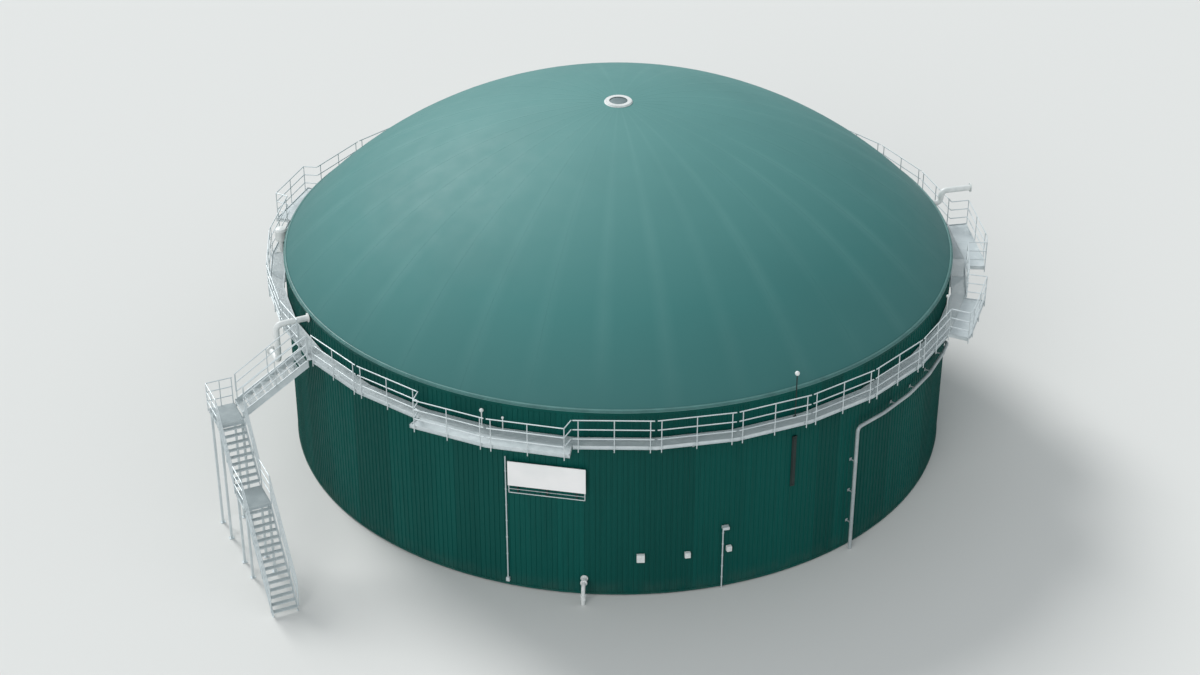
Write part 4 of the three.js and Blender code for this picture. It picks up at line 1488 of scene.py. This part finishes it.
@dataclass(frozen=True)
class LineRail:
    """A tube railing in one plane, its handrail turned down to the lowest rail at both ends."""

    walk: tuple[tuple[float, float], ...]
    posts: tuple[float, ...]
    x: float
    down: float = 0.12

    def height(self, y: float) -> float:
        """Finds the height of the walking line.

        Args:
            y: Place along the rail.

        Returns:
            The height.
        """
        for (y0, z0), (y1, z1) in zip(self.walk, self.walk[1:]):
            if y <= y1 + 1e-9:
                return z0 + (z1 - z0) * (y - y0) / (y1 - y0)
        return self.walk[-1][1]

    def parts(self) -> list[Object]:
        """Models the railing.

        Returns:
            Its parts.
        """
        x, top = self.x, RAIL_HEIGHT - TUBE_INSET
        low = top - RAIL_DROPS[-1]
        first, last = self.walk[0][0] + TUBE_INSET, self.walk[-1][0] - TUBE_INSET
        line = [(first, self.height(first)), *self.walk[1:-1], (last, self.height(last))]
        hand = [(first, line[0][1] + low), *((y, z + top) for y, z in line), (last, line[-1][1] + low)]
        found = [Bench.pipe([(x, y, z) for y, z in hand], TUBE_R, 0.07)]
        found += [Bench.pipe([(x, y, z + top - drop) for y, z in line], TUBE_R, 0.05)
                  for drop in RAIL_DROPS[1:]]
        for y in self.posts:
            z = self.height(y)
            foot = z - self.down
            found += [Bench.pipe([(x, y, foot + 0.02), (x, y, z + top)], POST_R),
                      Bench.block((x - 0.021, y - 0.03, foot), (x + 0.012, y + 0.03, z - 0.01), 0.003)]
        return found


@dataclass(frozen=True)
class AccessStair(Assembly):
    """The stair from the ground to the gallery with its two landings and railings."""

    half: float = FLIGHT_WIDTH / 2
    side: float = LANDING_LENGTH / 2
    rail_x: float = FLIGHT_WIDTH / 2 + GAP + TUBE_INSET
    mid_z: float = LOWER_RISERS * RISE
    top_z: float = (LOWER_RISERS + MIDDLE_RISERS) * RISE
    leg_inset: float = 0.07
    lift: float = 0.03

    def build(self) -> None:
        """Builds the stair."""
        half, side = self.half, self.side
        mid_rear = -side - (MIDDLE_RISERS - 1) * GOING
        mid_front = mid_rear - MID_LANDING_LENGTH
        foot_y = mid_front - (LOWER_RISERS - 1) * GOING
        leg_x, leg_y = half - self.leg_inset, side - self.leg_inset
        self.bind("lower_flight_steps", Flight(LOWER_RISERS, GOING, 0.0, True).parts(), "stair_lower_flight",
                  shift(0, foot_y, 0))
        self.bind("middle_flight_steps", Flight(MIDDLE_RISERS, GOING, self.mid_z, False).parts(),
                  "stair_middle_flight", shift(0, mid_rear, 0))
        ends = (mid_front + self.leg_inset, mid_rear - self.leg_inset)
        legs = tuple((i * leg_x, y) for y in ends for i in (-1, 1))
        self.bind("mid_landing_grating", Landing(-half, half, mid_front, mid_rear, self.mid_z, legs).parts(),
                  "stair_mid_landing")
        legs = tuple((i * leg_x, j * leg_y) for i, j in CORNERS)
        self.bind("top_landing_grating", Landing(-half, half, -side, side, self.top_z, legs).parts(),
                  "stair_top_landing")
        mid_walk = self.mid_z + self.lift
        walk = ((foot_y, RISE), (mid_front, mid_walk), (mid_rear, mid_walk), (-side - 0.06, self.top_z))
        posts = evenly(foot_y + 0.08, mid_front, 4) + evenly(mid_rear, -side - 0.1, 3)
        self.rails("stair_rail", walk, posts, "stair_railing")
        self.bind("landing_rail", self.landing_rail(), "stair_landing_railing")
        self.top_flight()

    def landing_rail(self) -> list[Object]:
        """Models the railing round the landing's left and rear sides.

        Returns:
            Its parts.
        """
        left, side, half, z = -self.rail_x, self.side, self.half, self.top_z
        rear, top = side + GAP + TUBE_INSET, z + RAIL_HEIGHT - TUBE_INSET
        line = ((left, -side), (left, rear), (half, rear))
        found = [Bench.pipe([(x, y, top - drop) for x, y in line], TUBE_R, 0.03) for drop in RAIL_DROPS]
        for x, y in ((left, 0.03 - side), (left, 0), (left, rear), (0, rear), (half - 0.03, rear)):
            found += [Bench.pipe([(x, y, z - 0.1), (x, y, top)], POST_R),
                      Bench.block((x - 0.021, y - 0.021, z - 0.12), (x + 0.021, y + 0.021, z - 0.01), 0.003)]
        return found

    def top_flight(self) -> None:
        """Builds the flight from the top landing to the gallery, with its railings."""
        half, z = self.half, self.top_z
        turn = Matrix.Rotation(-math.pi / 2, 4, "Z")
        self.bind("top_flight_steps", Flight(UPPER_RISERS, UPPER_GOING, z, False).parts(), "stair_top_flight",
                  turn @ shift(0, half, 0))
        end = half + (UPPER_RISERS - 1) * UPPER_GOING
        walk = ((half + 0.06, z + RISE), (end, DECK_Z + self.lift))
        self.rails("top_flight_rail", walk, evenly(half + 0.1, end - 0.06, 3), "top_flight_railing", turn)

    def rails(self, name: str, walk: tuple[tuple[float, float], ...], posts: tuple[float, ...], node: str,
              at: Matrix = HERE) -> None:
        """Builds the left and right railing of a flight.

        Args:
            name: Name of the pieces, before their side.
            walk: Walking line, as places along the flight and heights.
            posts: Places of the posts.
            node: CAD nodes' name, before their side.
            at: Placement in the stair's frame.
        """
        for hand, sign in (("left", -1), ("right", 1)):
            rail = LineRail(walk, posts, sign * self.rail_x)
            self.bind(f"{name}_{hand}", rail.parts(), f"{node}_{hand}", at)

    def bind(self, name: str, parts: Sequence[Object], node: str, at: Matrix = HERE) -> None:
        """Binds a piece that is modelled in the stair's frame, or in a frame placed in it."""
        self.binder.bind(name, parts, Slot.STEEL, node, at=on_stair() @ at)

    def threshold(self) -> list[Object]:
        """Models the plate between the top flight and the gallery deck.

        Returns:
            Its parts.
        """
        half, z = self.half, DECK_Z
        near = half + (UPPER_RISERS - 1) * UPPER_GOING
        parts = [Bench.block((near + GAP, -half, z - 0.012), (near + 0.26, half, z), 0.003),
                 Bench.block((near + GAP, -half, z - 0.038), (near + 0.012, half, z - 0.006), 0.002)]
        return [Bench.place(part, on_stair()) for part in parts]


@dataclass(frozen=True)
class Stretch:
    """A stretch of the gallery with its deck's and its railing's CAD nodes."""

    key: str
    deck: str
    railing: str
    start: float
    end: float
    outer: float = GALLERY_R
    ending: Ending = Ending.IN_LINE


STRETCHES = (
    Stretch("wide_front", "front_wide_deck", "front_wide_railing", *WIDE_FRONT, WIDE_DECK_R, Ending.SLANTED),
    Stretch("front", "gallery_deck_front", "gallery_railing_front", WIDE_FRONT[1], PLATFORM_FRONT[0]),
    Stretch("platform_front", "right_front_platform", "right_front_platform_railing", *PLATFORM_FRONT,
            PLATFORM_R, Ending.SQUARE),
    Stretch("between", "gallery_deck_between", "gallery_railing_between", PLATFORM_FRONT[1],
            PLATFORM_REAR[0]),
    Stretch("platform_rear", "right_rear_platform", "right_rear_platform_railing", *PLATFORM_REAR,
            PLATFORM_R, Ending.SQUARE),
    Stretch("right", "gallery_deck_right", "gallery_railing_right", PLATFORM_REAR[1], REAR_SPLIT),
    Stretch("rear", "gallery_deck_rear", "gallery_railing_rear", REAR_SPLIT, WIDE_REAR[0]),
    Stretch("wide_rear", "rear_wide_deck", "rear_wide_railing", *WIDE_REAR, WIDE_DECK_R, Ending.SLANTED),
    Stretch("left", "gallery_deck_left", "gallery_railing_left", WIDE_REAR[1], LEFT_END),
)


@dataclass(frozen=True)
class Gallery(Assembly):
    """The ring gallery; the stair's opening divides the railing of its left stretch."""

    joint: float = 0.05

    def build(self) -> None:
        """Builds the decks and then their railings, which keep a small gap to their neighbours."""
        for part in STRETCHES:
            extra = AccessStair(self.binder).threshold() if part.key == "left" else ()
            span = Span(part.start, part.end)
            Deck(self.binder, f"grating_{part.key}", part.deck, span, part.outer).build(extra)
        *others, left = STRETCHES
        before = replace(left, end=STAIR_OPENING[0])
        beyond = replace(left, key="front_left", railing="gallery_railing_front_left", start=STAIR_OPENING[1])
        for part in (*others, before, beyond):
            span = Span(part.start + self.joint, part.end - self.joint)
            GalleryRail(self.binder, f"rail_{part.key}", part.railing, span, part.outer, part.ending).build()


@dataclass(frozen=True)
class WallFittings(Assembly):
    """Blank sign, conduits, switch boxes and level gauge on the wall."""

    sign_azimuth: float = -10.1
    sign_width: float = 2.9
    sign_low: float = 4.68
    sign_high: float = 5.73
    sign_offset: float = 0.062
    sign_bolt_r: float = 0.01
    post_spots: tuple[float, ...] = (-1.1, 0.0, 1.1)
    conduit_r: float = 0.026
    conduit_line: float = 0.06
    left_conduit: float = -16.7
    left_clips: tuple[float, ...] = (1.5, 2.25, 3.0, 3.7, 4.4, 5.2)
    lamp_conduit: float = 17.6
    lamp_clips: tuple[float, ...] = (0.5, 1.0, 1.5, 2.0, 2.5)
    boxes: tuple[tuple[float, float, float, float], ...] = (
        (4.5, 0.15, 1.6, 1.92), (11.9, 0.11, 1.66, 1.88), (18.6, 0.1, 1.68, 1.9))
    gauge_azimuth: float = 29.4
    gauge_low: float = 3.9
    gauge_high: float = 6.09

    def build(self) -> None:
        """Builds the fittings, the first switch box being the largest."""
        self.sign()
        self.conduits()
        for index, (azimuth, half, low, high) in enumerate(self.boxes, 1):
            self.binder.bind(f"wall_switch_{index}", self.switch(half, low, high), Slot.WHITE,
                             f"switch_box_{index}", at=on_wall(azimuth))
        self.gauge()

    def sign(self) -> None:
        """Builds the blank plate, the posts and rails behind it, and the trim below it."""
        turn, back, half = facing(self.sign_azimuth), WALL_R + self.sign_offset, self.sign_width / 2
        low, high = self.sign_low, self.sign_high
        spots = [shift(back + 0.03, i * (half - 0.06), z) @ OUTWARDS
                 for i in (-1, 0, 1) for z in (low + 0.06, high - 0.06)]
        plate = Bench.block((back + GAP, -half, low), (back + 0.03, half, high), 0.006)
        parts = [plate, *Bench.bolts(self.sign_bolt_r, spots)]
        self.binder.bind("blank_sign", parts, Slot.SIGN, "sign_plate", at=turn)
        foot, behind, edge = low - 0.33, back - 0.012, half - 0.02
        parts = [Bench.block((behind, -edge, z), (back, edge, z + 0.06), 0.001)
                 for z in (low + 0.15, high - 0.21)]
        for y in self.post_spots:
            near = math.sqrt(WALL_FACE ** 2 - y ** 2) - 0.001
            parts.append(Bench.block((near, y - 0.02, foot), (behind - 0.001, y + 0.02, high - 0.15), 0.003))
        self.binder.bind("sign_posts", parts, Slot.DARK, "sign_frame", at=turn)
        front = back + 0.006
        trim = [Bench.block((behind, -edge, z), (front, edge, z + tall), 0.002)
                for z, tall in ((foot, 0.035), (foot + 0.17, 0.02))]
        trim += [Bench.block((behind, y, foot), (front, y + 0.03, low - 0.002), 0.002)
                 for y in (-edge, edge - 0.03)]
        self.binder.bind("sign_trim", trim, Slot.STEEL, at=turn)

    def conduit(self, low: float, high: float, clips: Iterable[float]) -> list[Object]:
        """Models an upright conduit.

        Args:
            low: Height of its foot.
            high: Height of its top.
            clips: Heights of its clips.

        Returns:
            Its parts.
        """
        line = self.conduit_line
        tube = Bench.pipe([(line, 0, low), (line, 0, high)], self.conduit_r, sides=12)
        return [tube, *(self.clip(z) for z in clips)]

    def conduits(self) -> None:
        """Builds the left conduit with its junction box, and the right one with its lamp."""
        left = [*self.conduit(0.4, 5.86, self.left_clips),
                Bench.block((0, -0.07, 0.25), (0.12, 0.07, 0.42), 0.012)]
        self.binder.bind("left_conduit", left, Slot.STEEL, "wall_conduit_left",
                         at=on_wall(self.left_conduit))
        right = [*self.conduit(0, 2.745, self.lamp_clips),
                 Bench.block((0.02, -0.06, 2.74), (0.23, 0.2, 2.86), 0.014),
                 Bench.block((0.0, -0.03, 2.77), (0.03, 0.03, 2.83), 0.004)]
        self.binder.bind("lamp_conduit", right, Slot.STEEL, "wall_conduit_right",
                         at=on_wall(self.lamp_conduit))

    def clip(self, z: float) -> Object:
        """Models a pipe clip on its stand-off.

        Args:
            z: Height.

        Returns:
            The clip.
        """
        ring = Bench.stack([(0.032, z), (0.032, z + 0.03)], 12, (self.conduit_line, 0, 0))
        foot = Bench.block((0.0, -0.012, z + 0.003), (0.032, 0.012, z + 0.027), 0.002)
        ears = Bench.block((0.05, -0.045, z + 0.004), (0.07, 0.045, z + 0.026), 0.003)
        return Bench.join([ring, foot, ears])

    @staticmethod
    def switch(half: float, low: float, high: float) -> list[Object]:
        """Models a switch box with its lid, knob and cable gland.

        Args:
            half: Half its width.
            low: Height of its foot.
            high: Height of its top.

        Returns:
            Its parts.
        """
        back = Bench.block((0, -half, low), (0.13, half, high), 0.012)
        lid = Bench.block((0.133, 0.004 - half, low + 0.004), (0.16, half - 0.004, high - 0.004), 0.01)
        knob = Bench.place(Bench.stack([(0.034, 0), (0.034, 0.008), (0.026, 0.012), (0.024, 0.024)], 20),
                           shift(0.158, 0.0, high - 0.08) @ OUTWARDS)
        gland = Bench.stack([(0.018, -0.03), (0.018, -0.01), (0.024, -0.01), (0.024, 0.004)], 12,
                            (0.07, 0.04, low))
        return [back, lid, knob, gland]

    def gauge(self) -> None:
        """Builds the level gauge: a covered channel with end caps and a sight strip."""
        low, high = self.gauge_low, self.gauge_high
        bars = (((0, -0.09, low), (0.05, 0.09, high), 0.008),
                ((0.05, -0.05, low + 0.08), (0.07, 0.05, high - 0.08), 0.006),
                ((0, -0.088, low), (0.068, 0.088, low + 0.06), 0.006),
                ((0, -0.088, high - 0.06), (0.068, 0.088, high), 0.006))
        self.binder.bind("gauge_strip", [Bench.block(*bar) for bar in bars], Slot.DARK, "level_gauge",
                         at=on_wall(self.gauge_azimuth))


@dataclass(frozen=True)
class Pipework(Assembly):
    """Service pipe, drain pipe, gas pipes and the relief pot."""

    bolt_r: float = 0.014
    bolt_inset: float = 0.028
    flange_bevel: float = 0.004
    service_r: float = 0.07
    service_line: float = WALL_R + 0.25
    service_z: float = 5.54
    service_azimuth: float = 41.4
    service_end: float = 73.0
    clip_heights: tuple[float, ...] = (1.2, 2.6, 4.0)
    arm_azimuths: tuple[float, ...] = (51, 57, 63, 69)
    drain_r: float = 0.075
    drain_azimuth: float = -4.35
    drain_z: float = 0.76
    drain_x: float = 0.62
    valve_z: float = 0.36
    outlet_z: float = 7.955
    gas_r: float = 0.12
    pot_azimuth: float = -91
    pot_line: float = 13.81
    left_gas: float = -60
    right_gas: float = 104

    def flange(self, radius: float, thick: float, at: Matrix, bolts: int = 8) -> list[Object]:
        """Models a bolted flange; its axis is local x.

        Args:
            radius: Outer radius.
            thick: Thickness.
            at: Placement of the flange's middle.
            bolts: How many bolts.

        Returns:
            Its parts.
        """
        half, bevel = thick / 2, self.flange_bevel
        inner = radius - bevel
        rim = ((inner, -half), (radius, bevel - half), (radius, half - bevel), (inner, half))
        disc = Bench.place(Bench.stack(rim, 28), at @ OUTWARDS)
        bolt = shift(half, 0, radius - self.bolt_inset) @ OUTWARDS
        spots = [at @ Matrix.Rotation(2 * math.pi * i / bolts, 4, "X") @ bolt for i in range(bolts)]
        return [disc, *Bench.bolts(self.bolt_r, spots)]

    def build(self) -> None:
        """Builds all pipes."""
        self.service()
        self.drain()
        self.gas()
        self.relief()

    def service(self) -> None:
        """Builds the grey pipe that climbs and runs round the right side."""
        line, z, start, end = self.service_line, self.service_z, self.service_azimuth, self.service_end
        turns = [47.5 + 7.2 * i for i in range(4)]
        route = [around(start, line, 0), *(around(azimuth, line, z) for azimuth in (start, *turns, end)),
                 around(end, WALL_R + 0.02, z)]
        parts = [Bench.pipe(route, self.service_r, 0.18, sides=18)]
        places = [(start, height) for height in self.clip_heights]
        for azimuth, height in (*places, *((azimuth, z) for azimuth in self.arm_azimuths)):
            for half, reach, bevel in ((0.02, 0.25, 0.004), (0.06, 0.008, 0.002)):
                bar = Bench.block((0, -half, height - half), (reach, half, height + half), bevel)
                parts.append(Bench.place(bar, on_wall(azimuth)))
        band = ((0.076, -0.02), (0.078, -0.016), (0.078, 0.016), (0.076, 0.02))
        parts += [Bench.stack(band, 20, around(start, line, height)) for height in self.clip_heights]
        parts += self.flange(0.12, 0.02, facing(end) @ shift(WALL_R + 0.03, 0, z), 4)
        self.binder.bind("service_line", parts, Slot.PIPE, "service_pipe")

    def drain(self) -> None:
        """Builds the drain pipe with its valve."""
        x, z = self.drain_x, self.drain_z
        parts = [Bench.pipe([(0.01, 0, z), (x, 0, z), (x, 0, 0)], self.drain_r, 0.16, sides=18)]
        for radius, thick, middle in ((0.14, 0.03, 0.015), (0.13, 0.018, 0.289), (0.13, 0.018, 0.311)):
            parts += self.flange(radius, thick, shift(middle, 0, z))
        body = ((0.08, 0.25), (0.11, 0.252), (0.11, 0.275), (0.085, 0.28), (0.095, 0.36), (0.085, 0.44),
                (0.11, 0.445), (0.11, 0.468), (0.08, 0.47))
        wheel = Bench.stack([(0.07, -0.006), (0.075, 0), (0.07, 0.006)], 20)
        parts += [Bench.stack(body, 24, (x, 0, 0)),
                  Bench.pipe([(x, -0.03, self.valve_z), (x, -0.112, self.valve_z)], 0.022, sides=12),
                  Bench.place(wheel, shift(x, -0.104, self.valve_z) @ Matrix.Rotation(math.pi / 2, 4, "X"))]
        self.binder.bind("drain_line", parts, Slot.WHITE, "drain_pipe",
                         at=on_wall(self.drain_azimuth))

    def gas_line(self, side: str, azimuth: float, route: Sequence[Point], end: Matrix) -> None:
        """Builds a gas outlet with a flange at the wall and a bare one where it ends.

        Args:
            side: Left or right.
            azimuth: Its azimuth.
            route: Corners of its centre line after the wall.
            end: Placement of its last flange.
        """
        z = self.outlet_z
        parts = [Bench.pipe([(0.01, 0, z), *route], self.gas_r, 0.23, sides=20, steps=6)]
        parts += self.flange(0.18, 0.04, shift(0.065, 0, z)) + self.flange(0.19, 0.04, end)
        self.binder.bind(f"{side}_gas_line", parts, Slot.WHITE, f"gas_pipe_{side}", at=on_wall(azimuth))

    def gas(self) -> None:
        """Builds the two gas outlets."""
        z, low, x = self.outlet_z, 6.35, 1.35
        self.gas_line("left", self.left_gas, ((x, 0, z), (x, 0, low), (x, -0.88, low)),
                      shift(x, -0.9, low) @ Matrix.Rotation(-math.pi / 2, 4, "Z"))
        high = DECK_Z + RAIL_HEIGHT + 0.3
        self.gas_line("right", self.right_gas, ((0.42, 0, z), (0.42, 0, high), (1.68, 0, high)),
                      shift(1.7, 0, high))

    def relief(self) -> None:
        """Builds the pressure relief pot on its stand."""
        line, base = self.pot_line, DECK_Z + GAP
        rings = ((0.11, 0.01), (0.11, 0.46), (0.15, 0.462), (0.15, 0.482), (0.23, 0.49), (0.25, 0.52),
                 (0.25, 0.9), (0.255, 0.905), (0.255, 0.93), (0.25, 0.935), (0.2, 1.01), (0.08, 1.045),
                 (0.06, 1.05))
        half, out, top = 0.21, 0.17, base + 0.014
        parts = [Bench.stack(rings, 32, (line, 0, base)),
                 Bench.block((line - half, -half, base), (line + half, half, top), 0.003)]
        parts += Bench.bolts(self.bolt_r, [shift(line + i * out, j * out, top) for i, j in CORNERS])
        self.binder.bind("relief_pot", parts, Slot.WHITE, "pressure_relief", at=facing(self.pot_azimuth))


@dataclass(frozen=True)
class DeckFittings(Assembly):
    """Level sensor rod and three short lamp posts."""

    line: float = 13.69
    rod_r: float = 0.022
    foot_half: float = 0.06
    sensor: tuple[float, float, float] = (28.8, 1.78, 0.09)
    lamps: tuple[tuple[float, float, float], ...] = (
        (-20.1, 0.62, 0.08), (-16.7, 0.5, 0.05), (70.3, 0.85, 0.07))

    def rod(self, azimuth: float, height: float, ball: float) -> tuple[Object, Object]:
        """Models a rod on a foot plate and its round head.

        Args:
            azimuth: Its azimuth.
            height: Length of the rod.
            ball: Radius of the head.

        Returns:
            The rod and the head.
        """
        line, base, top = self.line, DECK_Z + GAP, DECK_Z + height
        radius, half = self.rod_r, self.foot_half
        arcs = [math.radians(a) for a in (-60, -30, 0, 30, 60, 82)]
        rings = [(ball * math.cos(a), top + ball * (0.6 + math.sin(a))) for a in arcs]
        neck = rings[0][1]
        head = Bench.stack(rings, 20, (line, 0, 0))
        rod = Bench.stack([(radius, base), (radius, neck - 0.004), (radius - 0.008, neck + 0.002)], 14,
                          (line, 0, 0))
        plate = Bench.block((line - half, -half, base), (line + half, half, DECK_Z + 0.012), 0.002)
        turn = facing(azimuth)
        return Bench.place(Bench.join([rod, plate]), turn), Bench.place(head, turn)

    def build(self) -> None:
        """Builds the fittings."""
        rod, head = self.rod(*self.sensor)
        self.binder.bind("sensor_rod", [rod], Slot.DARK, "level_sensor")
        self.binder.bind("sensor_head", [head], Slot.WHITE)
        for index, lamp in enumerate(self.lamps, 1):
            self.binder.bind(f"lamp_post_{index}", self.rod(*lamp), Slot.WHITE, f"deck_lamp_{index}")


@dataclass(frozen=True)
class Studio:
    """Pale floor, soft light and the camera."""

    camera_at: Point = (0.946, -79.18, 50.2)
    aim: Point = (-0.7, -1.2, 3.9)
    lens: float = 66.0
    film: float = 36.0
    sight: float = 1500.0
    floor_r: float = 420.0
    floor_z: float = -0.004
    sky: float = 0.7
    suns: tuple[tuple[str, Point, float, float], ...] = (
        ("key", (-50, 62, 70), 0.35, 2.2), ("fill", (-40, -90, 60), 0.6, 0.9))

    @staticmethod
    def aimed(piece: Object, start: Point, target: Point) -> None:
        """Turns a lamp or camera from its place towards a target."""
        piece.rotation_euler = (Vector(target) - Vector(start)).to_track_quat("-Z", "Y").to_euler()

    def build(self) -> None:
        """Lays the floor, sets the light and places the camera."""
        Bench.free()
        bpy.ops.mesh.primitive_circle_add(vertices=96, radius=self.floor_r, fill_type="NGON",
                                          location=(0, 0, self.floor_z))
        floor = bpy.context.object
        floor.name = "studio_floor"
        board = NodeBoard("studio_floor_paint")
        board.set("Base Color", linear(214, 214, 211))
        board.set("Roughness", 0.9)
        floor.data.materials.append(board.material)
        self.light()
        self.camera()

    def light(self) -> None:
        """Sets the pale surroundings and the soft suns."""
        world = bpy.data.worlds.new("studio_world")
        bpy.context.scene.world = world
        world.use_nodes = True
        background = world.node_tree.nodes["Background"]
        background.inputs["Color"].default_value = linear(226, 233, 238)
        background.inputs["Strength"].default_value = self.sky
        for name, place, spread, power in self.suns:
            bpy.ops.object.light_add(type="SUN", location=place)
            lamp = bpy.context.object
            lamp.name = f"studio_{name}"
            lamp.data.angle = spread
            lamp.data.energy = power
            self.aimed(lamp, place, (0, 0, 4))

    def camera(self) -> None:
        """Places the camera at the photograph's angle."""
        bpy.ops.object.camera_add(location=self.camera_at)
        camera = bpy.context.object
        camera.name = "photo_camera"
        self.aimed(camera, self.camera_at, self.aim)
        camera.data.lens = self.lens
        camera.data.sensor_width = self.film
        camera.data.clip_end = self.sight
        camera.data.dof.use_dof = False
        bpy.context.scene.camera = camera
        bpy.context.scene.view_settings.view_transform = "Standard"


def main() -> None:
    """Builds the digester and the studio."""
    logging.basicConfig(level=logging.INFO, format="%(message)s")
    binder = Binder()
    for assembly in (RibbedWall, MembraneRoof, Gallery, AccessStair, WallFittings, Pipework, DeckFittings):
        assembly(binder).build()
    Studio().build()


if __name__ == "__main__":
    main()
